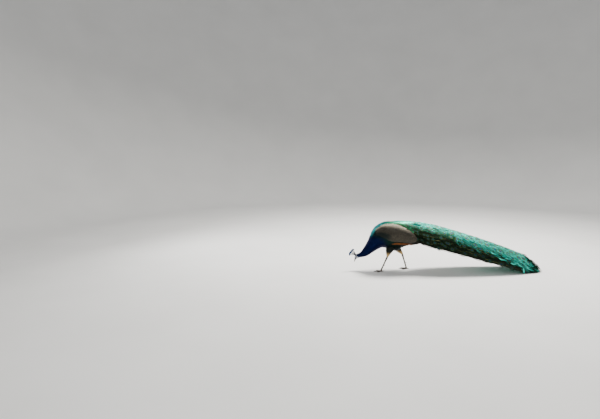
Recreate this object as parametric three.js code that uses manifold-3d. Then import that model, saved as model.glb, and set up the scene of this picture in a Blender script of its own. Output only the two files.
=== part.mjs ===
// A life-size peacock (Indian peafowl, adult male) that walks with its head lowered to feed and its
// folded train trailing behind to the ground. Millimetres, +Z up, the bird faces -X, its left side is -Y.
// The model is still: every node is a fixed piece, set against its neighbours with a thin parting gap.
import * as THREE from 'three';
import { ParametricGeometry } from 'three/addons/geometries/ParametricGeometry.js';
import { mergeVertices } from 'three/addons/utils/BufferGeometryUtils.js';
import Module from 'manifold-3d';

const wasm = await Module();
wasm.setup();

// ---------- driving dimensions ----------
const gap = 0.35; // parting gap between neighbouring pieces
const clearance = 0.5; // how far a piece is grown to cut its neighbours clear of it
const deg = Math.PI / 180;
const floorZ = 0;

// Centre line of the bird from the bill's root to the root of the tail. x, z: centre of a section that
// stands square to the line; up, down, side: how far the plumage reaches from it.
const bodyLine = [
  { x: -378, z: 115, up: 8, down: 8, side: 7.5 }, // root of the bill
  { x: -374, z: 126, up: 14, down: 14.5, side: 12.5 }, // lores
  { x: -368, z: 136.5, up: 18, down: 20, side: 16.5 }, // eyes
  { x: -357, z: 147, up: 19, down: 23, side: 18.5 }, // crown
  { x: -337, z: 153, up: 21.5, down: 23, side: 20.5 }, // nape
  { x: -314, z: 161, up: 27.5, down: 29, side: 26 },
  { x: -281, z: 182, up: 40, down: 41, side: 36 },
  { x: -243, z: 220, up: 52, down: 52, side: 47 },
  { x: -203, z: 263, up: 69, down: 68, side: 62 }, // foot of the neck
  { x: -163, z: 305, up: 93, down: 95, side: 83 }, // shoulders
  { x: -114, z: 335, up: 109, down: 131, side: 101 }, // breast
  { x: -45, z: 350, up: 126, down: 145, side: 107 }, // back
  { x: 38, z: 350, up: 127, down: 149, side: 103 }, // hips
  { x: 100, z: 347, up: 100, down: 98, side: 86 }, // vent
  { x: 152, z: 342, up: 60, down: 62, side: 60 },
  { x: 200, z: 338, up: 22, down: 16, side: 34 }, // root of the tail
];
// Shares of the line at which the bird is parted, and the steps along each length.
const bodyLengths = {
  head: { from: 0, to: 0.268, steps: 10 },
  neck_upper: { from: 0.268, to: 0.47, steps: 5 },
  neck_lower: { from: 0.47, to: 0.6, steps: 5 },
  trunk: { from: 0.6, to: 1, steps: 14 },
};

// Folded wing: an arched shell round the flank. z, up, down, side: the arch it lies on; from, to: the
// angles of its upper and lower edges, counted from straight up; thick: its depth.
const wingLine = [
  { x: -220, z: 352, up: 46, down: 30, side: 52, from: 38, to: 76, thick: 6 },
  { x: -178, z: 360, up: 82, down: 62, side: 85, from: 22, to: 86, thick: 18 },
  { x: -120, z: 366, up: 114, down: 90, side: 110, from: 17, to: 104, thick: 24 },
  { x: -50, z: 366, up: 124, down: 100, side: 124, from: 17, to: 124, thick: 28 },
  { x: 30, z: 364, up: 122, down: 100, side: 124, from: 22, to: 134, thick: 28 },
  { x: 100, z: 357, up: 106, down: 88, side: 118, from: 33, to: 138, thick: 26 },
  { x: 160, z: 345, up: 82, down: 72, side: 112, from: 47, to: 134, thick: 16 },
  { x: 196, z: 334, up: 58, down: 50, side: 106, from: 68, to: 116, thick: 8 },
];

// Chestnut flight feathers that show as a long blade below the folded wing.
const primaryBlade = {
  from: -52, to: 172, z: 284, rise: 6, droop: 4, y: 97, bulge: 3, height: 17, thick: 4.5, taper: 0.38,
};

// Train: an arched shell from the rump to the ground. z: its ridge; side: half its width; drop: how far
// its side edges hang below the ridge; thick: the depth of the laid feathers.
const trainLine = [
  { x: -44, z: 489, side: 52, drop: 14, thick: 9 },
  { x: 40, z: 498, side: 70, drop: 40, thick: 24 },
  { x: 118, z: 495, side: 84, drop: 100, thick: 34 },
  { x: 190, z: 490, side: 98, drop: 172, thick: 40 },
  { x: 280, z: 480, side: 132, drop: 208, thick: 46 },
  { x: 410, z: 453, side: 160, drop: 212, thick: 50 },
  { x: 560, z: 411, side: 172, drop: 210, thick: 50 },
  { x: 720, z: 363, side: 176, drop: 204, thick: 46 },
  { x: 880, z: 311, side: 174, drop: 196, thick: 40 },
  { x: 1040, z: 256, side: 166, drop: 179, thick: 34 },
  { x: 1180, z: 204, side: 150, drop: 172, thick: 28 },
  { x: 1290, z: 156, side: 128, drop: 158, thick: 22 },
  { x: 1385, z: 88, side: 98, drop: 91, thick: 15 },
  { x: 1436, z: 24, side: 66, drop: 28, thick: 8 },
];
// Where the train is parted along its line, rump to tip, and across it, in degrees from the ridge.
const trainLengths = {
  rump: { shares: [0, 0.3], steps: 6 },
  upper: { shares: [0.3, 0.56], steps: 5 },
  middle: { shares: [0.56, 0.8], steps: 5 },
  end: { shares: [0.8, 1], steps: 8 },
};
const trainSectors = { left: [-90, -34], back: [-34, 34], right: [34, 90] };
const trainHem = { angle: 14, share: 0.3 }; // degrees over which a side edge thins, and to what share
const trainLobes = { count: 7, depth: 46, from: 0.86 }; // feather ends round the train's last edge

// Tail proper: a flat fan of stiff feathers below the train.
const tailFan = {
  from: 206, to: 585, z: 334, fall: -46, rootHalf: 30, endHalf: 92, thick: 9, bow: 14, roundEnd: 14,
};

// Legs, with the left one set forward and the right one back, in mid stride: [x, z] of each joint. The
// thigh's radii are at the hip, half way and at the hock, and flat is its width as a share of its depth.
const legs = {
  left: { y: -52, hip: [-34, 260], thighMiddle: [-56, 206], hock: [-69, 152], heel: [-126, 19] },
  right: { y: 52, hip: [12, 262], thighMiddle: [51, 208], hock: [98, 154], heel: [141, 19] },
};
const thigh = { hipY: 0.9, radii: [56, 33, 9.5], flat: 0.8 };
// Shank: radii at shares of its length from the hock down to the toes.
const shank = { length: 153, shares: [0, 0.12, 0.4, 0.75, 1], radii: [6.7, 8.4, 5, 5, 6.6] };
const pad = { length: 10.5, width: 9.5, height: 9, z: 7.5 }; // radii of the pad that joins the toes
// Toes: turn in degrees from straight ahead towards the outside of the bird; raise: height of the toe's
// axis at the pad; claw: length of the claw.
const toes = {
  middle: { turn: 2, length: 62, raise: 7, root: 6.2, tip: 4.2, claw: 15 },
  inner: { turn: -32, length: 43, raise: 7, root: 5.6, tip: 4, claw: 13 },
  outer: { turn: 34, length: 46, raise: 7, root: 5.6, tip: 4, claw: 13 },
  hind: { turn: -164, length: 21, raise: 9, root: 4.8, tip: 3.6, claw: 11 },
};
const claw = { sunk: 3, radii: [2.9, 2.3, 0.5], heights: [4.4, 4.2, 0.8] };
const spur = { up: 56, length: 21, root: 5, point: 0.6, inward: 0.45, rise: 0.1 };

const bill = { length: 38, upper: 8.4, lower: 5.4, half: 6.6, hook: 3.2, lowerShare: 0.86 };
const eye = { radius: 6.6, along: 0.128, out: 12.4, rise: 2.2 };
// Crest: lean and spread of the fan in degrees, in the bird's middle plane; along: its place on the head.
const crest = {
  count: 7, along: 0.17, knob: 4.5, length: 58, lean: 147, spread: 58, sway: 0.07, stem: 1.3,
  vane: 9.5, vaneLength: 17, thick: 1.6,
};

// ---------- materials ----------
const finish = (color, roughness, metalness = 0) =>
  new THREE.MeshStandardMaterial({ color, roughness, metalness });
const finishes = {
  blue: finish(0x10207a, 0.45, 0.3),
  darkGreen: finish(0x0d3b30, 0.5, 0.25),
  barred: finish(0x9a917d, 0.75),
  chestnut: finish(0x9c5a24, 0.7),
  train: finish(0x1c8f6c, 0.42, 0.35),
  tail: finish(0x4e4236, 0.8),
  buff: finish(0xb89a6c, 0.85),
  legScales: finish(0x6f665c, 0.6),
  billHorn: finish(0x7a756c, 0.4),
  claw: finish(0x2f2a26, 0.5),
  eye: finish(0x24130c, 0.12),
};

// ---------- helpers ----------
const { clamp, lerp, smoothstep } = THREE.MathUtils;
const sides = { left: -1, right: 1 };

// A curve through named values: Catmull-Rom over the stations, t from 0 to 1.
function tableOf(stations) {
  const keys = Object.keys(stations[0]);
  const last = stations.length - 1;
  const at = (i, k) => {
    if (i < 0) return 2 * stations[0][k] - stations[1][k];
    if (i > last) return 2 * stations[last][k] - stations[last - 1][k];
    return stations[i][k];
  };
  return (t) => {
    const place = clamp(t, 0, 1) * last;
    const i = Math.min(Math.floor(place), last - 1);
    const f = place - i;
    const values = {};
    for (const k of keys) {
      const [a, b, c, d] = [at(i - 1, k), at(i, k), at(i + 1, k), at(i + 2, k)];
      const cubic = (3 * b - a - 3 * c + d) * f + (2 * a - 5 * b + 4 * c - d);
      values[k] = b + 0.5 * f * (c - a + f * cubic);
    }
    return values;
  };
}

// A closed solid from section(s, v): s runs along it, v once round each section. Each end is closed by
// drawing the section's two halves, v and 1 - v, together to the line midway between them.
function loft(section, along, around) {
  const rows = along + 2;
  const geometry = new ParametricGeometry(
    (u, v, target) => {
      const row = Math.round(u * rows);
      const turn = Math.round(v * around) % around;
      const s = clamp((row - 1) / along, 0, 1);
      target.copy(section(s, turn / around));
      if (row === 0 || row === rows) {
        target.add(section(s, ((around - turn) % around) / around)).multiplyScalar(0.5);
      }
    },
    rows,
    around,
  );
  return solidFrom(geometry);
}

// A manifold solid from a closed three.js geometry, with its faces turned outwards.
function solidFrom(source) {
  const geometry = source.clone();
  geometry.deleteAttribute('normal');
  geometry.deleteAttribute('uv');
  const merged = mergeVertices(geometry, 1e-4);
  const index = merged.index.array;
  const kept = [];
  for (let i = 0; i < index.length; i += 3) {
    const [a, b, c] = [index[i], index[i + 1], index[i + 2]];
    if (a !== b && b !== c && c !== a) kept.push(a, b, c);
  }
  const make = (triangles) =>
    new wasm.Manifold(
      new wasm.Mesh({
        numProp: 3,
        vertProperties: merged.attributes.position.array,
        triVerts: new Uint32Array(triangles),
      }),
    );
  const solid = make(kept);
  return solid.volume() > 0 ? solid : make(kept.reverse());
}

// The largest single body of a solid, which drops the crumbs that a cut leaves.
function largest(solid) {
  return solid.decompose().sort((a, b) => b.volume() - a.volume())[0];
}

// A ball with its own radius along each axis.
function ellipsoid([rx, ry, rz], centre, around, rings) {
  const ball = new THREE.SphereGeometry(1, around, rings).scale(rx, ry, rz);
  return solidFrom(ball.translate(centre.x, centre.y, centre.z));
}

// A round tapering limb along points, with a radius at each, its width the share flat of its depth.
function limb(points, radii, around, steps, flat = 1) {
  const path = new THREE.CatmullRomCurve3(points);
  const radiusAt = tableOf(radii.map((r) => ({ r })));
  return loft(
    (s, v) => {
      const along = path.getTangent(s);
      const across = new THREE.Vector3(0, 1, 0).addScaledVector(along, -along.y).normalize();
      const upright = new THREE.Vector3().crossVectors(along, across);
      const { r } = radiusAt(s);
      const a = v * 2 * Math.PI;
      return path
        .getPoint(s)
        .addScaledVector(upright, r * Math.cos(a))
        .addScaledVector(across, r * flat * Math.sin(a));
    },
    steps,
    around,
  );
}

const peacock = new THREE.Group();
function addNode(name, solid, material) {
  const mesh = solid.getMesh();
  const geometry = new THREE.BufferGeometry()
    .setAttribute('position', new THREE.BufferAttribute(new Float32Array(mesh.vertProperties), 3))
    .setIndex(new THREE.BufferAttribute(new Uint32Array(mesh.triVerts), 1));
  geometry.computeVertexNormals();
  const node = new THREE.Mesh(geometry, material);
  node.name = name;
  peacock.add(node);
}

// A slab that takes off whatever would reach below the floor.
const underFloor = solidFrom(new THREE.BoxGeometry(4000, 2000, 200).translate(0, 0, floorZ - 100));

// ---------- head, neck and trunk ----------
const bodyAt = tableOf(bodyLine);
// The line's point, its direction towards the tail, and the normal to it that points up and back.
function bodyFrame(s) {
  const { x, z } = bodyAt(s);
  const step = 1e-3;
  const [back, ahead] = [bodyAt(s - step), bodyAt(s + step)];
  const tangent = new THREE.Vector3(ahead.x - back.x, 0, ahead.z - back.z).normalize();
  return { point: new THREE.Vector3(x, 0, z), tangent, normal: new THREE.Vector3(-tangent.z, 0, tangent.x) };
}

// Section of the bird: an ellipse with its own radius above, below and at the sides, fuller by grow.
function bodySection(s, v, grow = 0) {
  const { up, down, side } = bodyAt(s);
  const { point, normal } = bodyFrame(s);
  const a = v * 2 * Math.PI;
  const reach = (Math.cos(a) > 0 ? up : down) + grow;
  point.addScaledVector(normal, reach * Math.cos(a));
  point.y += (side + grow) * Math.sin(a);
  return point;
}

const bodySides = 20;
const bodyShare = gap / 900; // the gap as a share of the body line's length
function bodyLength(name) {
  const { from, to, steps } = bodyLengths[name];
  const start = from > 0 ? from + bodyShare : from;
  return loft((s, v) => bodySection(lerp(start, to, s), v), steps, bodySides);
}

// The same length made larger all round, to cut its neighbours clear of it.
function bodyGrown(name) {
  const { from, to, steps } = bodyLengths[name];
  const [start, end] = [from - bodyShare, to + bodyShare];
  return loft((s, v) => bodySection(lerp(start, end, s), v, clearance), steps, bodySides);
}
const trunkGrown = bodyGrown('trunk').add(bodyGrown('neck_lower'));

// The head, with a socket round each eye.
function makeHead() {
  const { point, normal } = bodyFrame(eye.along);
  const centre = point.addScaledVector(normal, eye.rise);
  let head = bodyLength('head');
  for (const [name, side] of Object.entries(sides)) {
    const place = centre.clone().setY(side * eye.out);
    const ball = (radius) => ellipsoid([radius, radius, radius], place, 10, 7);
    head = head.subtract(ball(eye.radius + gap));
    addNode(`eye_${name}`, ball(eye.radius), finishes.eye);
  }
  addNode('head', head, finishes.blue);
}

// The two halves of the bill: half ellipses drawn to a point, the upper one hooked over the lower.
function makeBill() {
  const { point, tangent, normal } = bodyFrame(0);
  const root = point.addScaledVector(tangent, -gap);
  const half = (sign, depth, share) => (s, v) => {
    const blunt = 0.006; // keeps the point from closing to nothing
    const taper = Math.sqrt(Math.max(1 - s, blunt)) * (1 - 0.25 * s);
    const a = v * 2 * Math.PI;
    const crown = Math.cos(a) > 0 ? Math.cos(a) : 0.08 * Math.cos(a);
    const lift = sign * (depth * (taper * crown + 0.09) + gap / 2);
    const droop = bill.hook * s * s * (sign > 0 ? 1 : 0.4);
    const p = root.clone().addScaledVector(tangent, -bill.length * share * s);
    p.addScaledVector(normal, lift - droop);
    p.y += bill.half * share * taper * Math.sin(a);
    return p;
  };
  const upper = loft(half(1, bill.upper, 1), 7, 10);
  const lower = loft(half(-1, bill.lower, bill.lowerShare), 6, 10);
  addNode('bill_upper', upper, finishes.billHorn);
  addNode('bill_lower', largest(lower.subtract(upper)), finishes.billHorn);
}

// Crest: bare stems in a fan, each ending in a small flat vane, all joined at the crown.
function makeCrest() {
  const { point, normal } = bodyFrame(crest.along);
  const root = point.addScaledVector(normal, bodyAt(crest.along).up - 3);
  const pieces = [ellipsoid([crest.knob, crest.knob, crest.knob], root, 6, 4)];
  for (let i = 0; i < crest.count; i += 1) {
    const share = i / (crest.count - 1) - 0.5;
    const angle = (crest.lean + share * crest.spread) * deg;
    const out = new THREE.Vector3(Math.cos(angle), Math.sin(i * 2.4) * crest.sway, Math.sin(angle));
    const tip = root.clone().addScaledVector(out, crest.length);
    pieces.push(limb([root, tip], [crest.stem, crest.stem], 4, 1));
    const vane = new THREE.SphereGeometry(0.5, 6, 3).scale(crest.vaneLength, crest.thick, crest.vane);
    pieces.push(solidFrom(vane.rotateY(-angle).translate(tip.x, tip.y, tip.z)));
  }
  addNode('crest', largest(wasm.Manifold.union(pieces).subtract(bodyGrown('head'))), finishes.blue);
}

// ---------- wings ----------
const wingAt = tableOf(wingLine);
// Section of a wing on its arch: v runs along the outer face from the upper edge to the lower one, and
// back along the inner face. The shell thins towards both edges.
function wingSection(s, v, side, grow) {
  const w = wingAt(s);
  const outer = v <= 0.5;
  const share = outer ? v * 2 : (1 - v) * 2;
  const wider = (1.5 * grow) / w.side;
  const angle = lerp(w.from * deg - wider, w.to * deg + wider, share);
  const fullness = lerp(0.35, 1, Math.sqrt(Math.sin(Math.PI * share)));
  const depth = outer ? -grow : w.thick * fullness + grow;
  const height = (Math.cos(angle) > 0 ? w.up : w.down) - depth;
  const y = side * (w.side - depth) * Math.sin(angle);
  return new THREE.Vector3(w.x + (2 * s - 1) * grow, y, w.z + height * Math.cos(angle));
}
function wingShell(side, grow = 0) {
  return loft((s, v) => wingSection(s, v, side, grow), 10, 14);
}
const wingsGrown = Object.values(sides).map((side) => wingShell(side, clearance));

function makeWing(name, side) {
  addNode(`wing_${name}`, largest(wingShell(side).subtract(trunkGrown)), finishes.barred);
}

function makePrimaries(name, side) {
  const { from, to, z, y, rise, droop, bulge, height, thick, taper } = primaryBlade;
  const line = [
    new THREE.Vector3(from, side * y, z + rise),
    new THREE.Vector3((from + to) / 2, side * (y + bulge), z),
    new THREE.Vector3(to, side * y, z - droop),
  ];
  let blade = limb(line, [height * taper, height, height * taper], 8, 6, thick / height);
  for (const solid of [trunkGrown, ...wingsGrown]) blade = blade.subtract(solid);
  addNode(`primaries_${name}`, largest(blade), finishes.chestnut);
}

// ---------- train and tail ----------
const trainAt = tableOf(trainLine);
// How far the train's last edge falls short between its lobes, at an angle from the ridge.
function trainShortfall(angle) {
  return trainLobes.depth * (1 - Math.abs(Math.cos((angle * deg * trainLobes.count) / 2)) ** 0.6);
}
function trainPoint(t, angle, depth) {
  const w = trainAt(t);
  const x = w.x - smoothstep(t, trainLobes.from, 1) * trainShortfall(angle);
  const a = angle * deg;
  return new THREE.Vector3(x, (w.side - depth) * Math.sin(a), w.z - w.drop + (w.drop - depth) * Math.cos(a));
}
// One length of one sector, its side edges thinned to a hem.
function trainShell([t0, t1], [a0, a1], along, around) {
  const start = t0 > 0 ? t0 + gap / 1500 : t0; // the gap as a share of the train line's length
  const parting = gap / 320 / deg; // half the gap as degrees of the train's arch
  const from = a0 > -90 ? a0 + parting : a0;
  const to = a1 < 90 ? a1 - parting : a1;
  return loft(
    (s, v) => {
      const t = lerp(start, t1, s);
      const outer = v <= 0.5;
      const angle = lerp(from, to, outer ? v * 2 : (1 - v) * 2);
      const hem = clamp((90 - Math.abs(angle)) / trainHem.angle, trainHem.share, 1);
      return trainPoint(t, angle, outer ? 0 : trainAt(t).thick * hem);
    },
    along,
    around,
  );
}

function makeTrain() {
  for (const [length, { shares, steps }] of Object.entries(trainLengths)) {
    for (const [sector, angles] of Object.entries(trainSectors)) {
      let piece = trainShell(shares, angles, steps, sector === 'back' ? 12 : 10);
      for (const solid of [trunkGrown, ...wingsGrown, underFloor]) piece = piece.subtract(solid);
      addNode(`train_${length}_${sector}`, largest(piece), finishes.train);
    }
  }
}

// Tail fan: a bowed flat plate that widens to a rounded end and thins to half.
function makeTail() {
  const fan = loft(
    (s, v) => {
      const outer = v <= 0.5;
      const across = (outer ? v * 2 : (1 - v) * 2) * 2 - 1;
      const crown = 1 - across * across;
      const half = lerp(tailFan.rootHalf, tailFan.endHalf, s ** 0.8);
      const x = lerp(tailFan.from, tailFan.to, s) + tailFan.roundEnd * s * crown;
      const thick = tailFan.thick * (1 - 0.5 * s);
      const z = tailFan.z + tailFan.fall * s + tailFan.bow * crown + (outer ? 0.5 : -0.5) * thick;
      return new THREE.Vector3(x, across * half, z);
    },
    6,
    12,
  );
  addNode('tail', largest(fan.subtract(trunkGrown)), finishes.tail);
}

// ---------- legs ----------
function makeLeg(name) {
  const { y, hip, thighMiddle, hock, heel } = legs[name];
  const outside = Math.sign(y);
  const heelPoint = new THREE.Vector3(heel[0], y, 0);
  const axis = new THREE.Vector3(heel[0] - hock[0], 0, heel[1] - hock[1]).normalize();
  const onShank = (d) => new THREE.Vector3(hock[0], y, hock[1]).addScaledVector(axis, d);
  const grown = (radii, grow) => radii.map((r) => r + grow);

  const thighLine = [
    new THREE.Vector3(hip[0], y * thigh.hipY, hip[1]),
    new THREE.Vector3(thighMiddle[0], y, thighMiddle[1]),
    new THREE.Vector3(hock[0], y, hock[1]),
  ];
  const thighLimb = (grow) => limb(thighLine, grown(thigh.radii, grow), 12, 6, thigh.flat);
  const shankLine = shank.shares.map((share) => onShank(share * shank.length));
  const shankLimb = (grow) => limb(shankLine, grown(shank.radii, grow), 8, 5);

  // Foot: a low pad with four toes, each flat where it meets the ground.
  const toePoint = (toe, d, z) => {
    const turn = toe.turn * deg;
    const out = new THREE.Vector3(-Math.cos(turn), outside * Math.sin(turn), 0);
    return heelPoint.clone().addScaledVector(out, d).setZ(z);
  };
  const footSolid = (grow) => {
    const padRadii = grown([pad.length, pad.width, pad.height], grow);
    const parts = [ellipsoid(padRadii, heelPoint.clone().setZ(pad.z), 10, 6)];
    for (const toe of Object.values(toes)) {
      const line = [
        toePoint(toe, 0, toe.raise),
        toePoint(toe, toe.length * 0.45, toe.root - 0.2),
        toePoint(toe, toe.length + grow, toe.tip - 0.9),
      ];
      parts.push(limb(line, grown([toe.root, (toe.root + toe.tip) / 2, toe.tip], grow), 8, 3));
    }
    return wasm.Manifold.union(parts);
  };
  const footGrown = footSolid(gap);

  // Spur: a short cone on the inner back of the shank.
  const back = new THREE.Vector3(-axis.z, -outside * spur.inward, axis.x + spur.rise).normalize();
  const spurRoot = onShank(shank.length - spur.up);
  const spurLine = [spurRoot, spurRoot.clone().addScaledVector(back, spur.length)];
  const spurCone = limb(spurLine, [spur.root, spur.point], 8, 2);

  addNode(`thigh_${name}`, largest(thighLimb(0).subtract(trunkGrown)), finishes.buff);
  const bone = shankLimb(0).subtract(thighLimb(gap)).subtract(footGrown);
  addNode(`shank_${name}`, largest(bone), finishes.legScales);
  addNode(`foot_${name}`, largest(footSolid(0).subtract(underFloor)), finishes.legScales);
  for (const [toeName, toe] of Object.entries(toes)) {
    const reach = [toe.length - claw.sunk, toe.length + toe.claw * 0.5, toe.length + toe.claw];
    const nail = limb(reach.map((d, i) => toePoint(toe, d, claw.heights[i])), claw.radii, 6, 3);
    addNode(`claw_${toeName}_${name}`, largest(nail.subtract(footGrown).subtract(underFloor)), finishes.claw);
  }
  addNode(`spur_${name}`, largest(spurCone.subtract(shankLimb(gap))), finishes.claw);
}

// ---------- assembly ----------
makeHead();
makeBill();
makeCrest();
addNode('neck_upper', bodyLength('neck_upper'), finishes.blue);
addNode('neck_lower', bodyLength('neck_lower'), finishes.blue);
addNode('trunk', bodyLength('trunk'), finishes.darkGreen);
for (const [name, side] of Object.entries(sides)) {
  makeWing(name, side);
  makePrimaries(name, side);
}
makeTrain();
makeTail();
for (const name of Object.keys(legs)) makeLeg(name);

// The origin is on the floor, below the middle of the whole bird.
const bounds = new THREE.Box3().setFromObject(peacock);
const middle = bounds.getCenter(new THREE.Vector3());
peacock.position.set(-middle.x, -middle.y, -bounds.min.z);

export default peacock;
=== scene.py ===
import bpy
import numpy as np
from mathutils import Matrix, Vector


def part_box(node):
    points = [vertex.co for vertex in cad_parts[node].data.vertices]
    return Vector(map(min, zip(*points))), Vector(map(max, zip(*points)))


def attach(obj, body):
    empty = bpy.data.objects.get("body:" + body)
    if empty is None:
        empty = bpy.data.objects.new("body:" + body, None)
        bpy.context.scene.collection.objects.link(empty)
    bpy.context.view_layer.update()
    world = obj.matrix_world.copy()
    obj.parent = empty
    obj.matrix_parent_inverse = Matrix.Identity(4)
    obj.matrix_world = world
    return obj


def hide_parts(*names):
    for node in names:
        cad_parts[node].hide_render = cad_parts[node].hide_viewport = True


# A life-size peacock, walking with its head lowered and its folded train trailing to the ground.
# Shapes are worked out in millimetres in the bird's own frame: +Z up, it faces -X, its left is -Y.
# toRow() turns them into metres in the row frame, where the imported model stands.
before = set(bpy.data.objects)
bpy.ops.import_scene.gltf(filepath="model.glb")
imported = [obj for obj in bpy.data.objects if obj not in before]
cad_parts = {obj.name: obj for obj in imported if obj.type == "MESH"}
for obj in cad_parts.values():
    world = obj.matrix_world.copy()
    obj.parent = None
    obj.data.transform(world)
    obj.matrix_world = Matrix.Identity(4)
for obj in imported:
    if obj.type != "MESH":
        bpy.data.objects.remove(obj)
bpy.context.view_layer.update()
tailEnd = 599.0  # the tail's rear edge in the bird's own frame
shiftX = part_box("tail")[1].x - tailEnd / 1000
sides = {"left": -1, "right": 1}
print("frame loaded, bird's frame shifted by", round(shiftX, 4))


def toRow(points):
    # millimetres in the bird's frame to metres in the row frame
    return points / 1000 + np.array([shiftX, 0, 0])


def smooth(x, low, high):
    # 0 below low, 1 above high, 3t^2 - 2t^3 between
    t = np.clip((x - low) / (high - low), 0, 1)
    return t * t * (3 - 2 * t)


def mix(a, b, share):
    # a where share is 0, b where it is 1
    return a + (b - a) * share


def bell(x, middle, width):
    # a bump of height 1: e^-((x - middle) / width)^2
    return np.exp(-(((x - middle) / width) ** 2))


def tone(code):
    # a linear colour from a six-digit sRGB code
    rgb = np.array([int(code[i:i + 2], 16) for i in (0, 2, 4)]) / 255
    return np.where(rgb <= 0.04045, rgb / 12.92, ((rgb + 0.055) / 1.055) ** 2.4)


def unit(vectors):
    # the same directions with length 1
    return vectors / np.maximum(np.linalg.norm(vectors, axis=-1, keepdims=True), 1e-12)


def curveThrough(rows):
    # Catmull-Rom through rows of numbers: t runs from 0 at the first row to 1 at the last
    rows = np.array(rows, float)
    last = len(rows) - 1
    padded = np.vstack([2 * rows[0] - rows[1], rows, 2 * rows[-1] - rows[-2]])

    def at(t):
        place = np.clip(t, 0, 1) * last
        i = np.minimum(np.floor(place).astype(int), last - 1)
        f = (place - i)[..., None]
        a, b, c, d = padded[i], padded[i + 1], padded[i + 2], padded[i + 3]
        cubic = (3 * b - a - 3 * c + d) * f + (2 * a - 5 * b + 4 * c - d)
        return b + 0.5 * f * (c - a + f * cubic)

    return at


tones = {
    "cobalt": tone("030a2c"),
    "crownBlue": tone("071d4c"),
    "throat": tone("061234"),
    "turquoise": tone("0d8084"),
    "bronze": tone("8a7a1e"),
    "scaleGreen": tone("148252"),
    "nearBlack": tone("040b08"),
    "blackGreen": tone("061c17"),
    "ventBrown": tone("2c231c"),
    "bareSkin": tone("d9dde0"),
    "lidRim": tone("4a4e57"),
    "cream": tone("dccfb2"),
    "wingEnd": tone("463e32"),
    "chestnut": tone("6e3c12"),
    "chestnutTip": tone("4a2b14"),
    "buff": tone("b99a69"),
    "horn": tone("6d675f"),
    "hornPale": tone("a49d90"),
    "leg": tone("463529"),
    "legDark": tone("241b16"),
    "claw": tone("2b2724"),
    "trainGreen": tone("053820"),
    "trainBronze": tone("70642a"),
    # the train's ridge: a lit teal and a paler painted highlight, which stand in for light on the ridge
    "trainLitTeal": tone("14d4ba"),
    "trainHighlight": tone("6cecdf"),
    "tailBrown": tone("57493b"),
    "tailTip": tone("8b7b62"),
    "shaft": tone("7c7a4e"),
    "shaftRim": tone("4c5230"),
    "floor": tone("e8e7e3"),
}


# Body line: x, z of the centre of a section that stands square to the line, and how far the plumage
# reaches up, down and to each side of it
bodyLine = [
    (-378, 115, 8, 8, 7.5),  # root of the bill
    (-374, 126, 14, 14.5, 12.5),  # lores
    (-368, 136.5, 18, 20, 16.5),  # eyes
    (-357, 147, 19, 23, 18.5),  # crown
    (-337, 153, 21.5, 23, 20.5),  # nape
    (-314, 161, 27.5, 29, 26),
    (-281, 182, 40, 41, 36),
    (-243, 220, 52, 52, 47),
    (-203, 263, 69, 68, 62),  # foot of the neck
    (-163, 305, 93, 95, 83),  # shoulders
    (-114, 335, 109, 131, 101),  # breast
    (-45, 350, 126, 145, 107),  # back
    (38, 350, 127, 149, 103),  # hips
    (100, 347, 100, 98, 86),  # vent
    (152, 342, 60, 62, 60),
    (200, 338, 22, 16, 34),  # root of the tail
]
bodyAt = curveThrough(bodyLine)
bodyShares = np.linspace(0, 1, len(bodyLine))
bodyX = [row[0] for row in bodyLine]


def bodyFrame(a):
    # centre, direction towards the tail, and the normal that points up and back, in the middle plane
    row = bodyAt(a)
    run = bodyAt(a + 1e-3)[..., :2] - bodyAt(a - 1e-3)[..., :2]
    run = unit(run)
    zero = np.zeros(np.shape(a))
    centre = np.stack([row[..., 0], zero, row[..., 1]], -1)
    tangent = np.stack([run[..., 0], zero, run[..., 1]], -1)
    normal = np.stack([-run[..., 1], zero, run[..., 0]], -1)
    return row, centre, tangent, normal


def bodySurface(a, b, depth=0.0):
    # section of the bird at a, b turns round it from the top towards its right side
    row, centre, _, normal = bodyFrame(a)
    turn = b * 2 * np.pi
    reach = np.where(np.cos(turn) > 0, row[..., 2], row[..., 3]) - depth
    point = centre + normal * (reach * np.cos(turn))[..., None]
    point[..., 1] += (row[..., 4] - depth) * np.sin(turn)
    return point


# Folded wing: z, up, down, side: the arch it lies on; from, to: its edges in degrees from straight up
wingLine = [
    (-220, 352, 46, 30, 52, 38, 76, 6),
    (-178, 360, 82, 62, 85, 22, 86, 18),
    (-120, 366, 114, 90, 110, 17, 104, 24),
    (-50, 366, 124, 100, 124, 17, 124, 28),
    (30, 364, 122, 100, 124, 22, 134, 28),
    (100, 357, 106, 88, 118, 33, 138, 26),
    (160, 345, 82, 72, 112, 47, 134, 16),
    (196, 334, 58, 50, 106, 68, 116, 8),
]
wingAt = curveThrough(wingLine)
wingShares = np.linspace(0, 1, len(wingLine))
wingX = [row[0] for row in wingLine]


def wingSurface(a, b, depth=0.0):
    # arch of the folded wing at a, b degrees from straight up, negative on the left
    row = wingAt(a)
    turn = np.radians(b)
    reach = np.where(np.cos(turn) > 0, row[..., 2], row[..., 3]) - depth
    y = (row[..., 4] - depth) * np.sin(turn)
    return np.stack([row[..., 0] + 0 * b, y, row[..., 1] + reach * np.cos(turn)], -1)


# Train: x, z of its ridge, half its width, how far its edges hang below the ridge, and its depth
trainLine = [
    (-44, 489, 52, 14, 9),
    (40, 498, 70, 40, 24),
    (118, 495, 84, 100, 34),
    (190, 490, 98, 172, 40),
    (280, 480, 132, 208, 46),
    (410, 453, 160, 212, 50),
    (560, 411, 172, 210, 50),
    (720, 363, 176, 204, 46),
    (880, 311, 174, 196, 40),
    (1040, 256, 166, 179, 34),
    (1180, 204, 150, 172, 28),
    (1290, 156, 128, 158, 22),
    (1385, 88, 98, 91, 15),
    (1436, 24, 66, 28, 8),
]
trainAt = curveThrough(trainLine)


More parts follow.
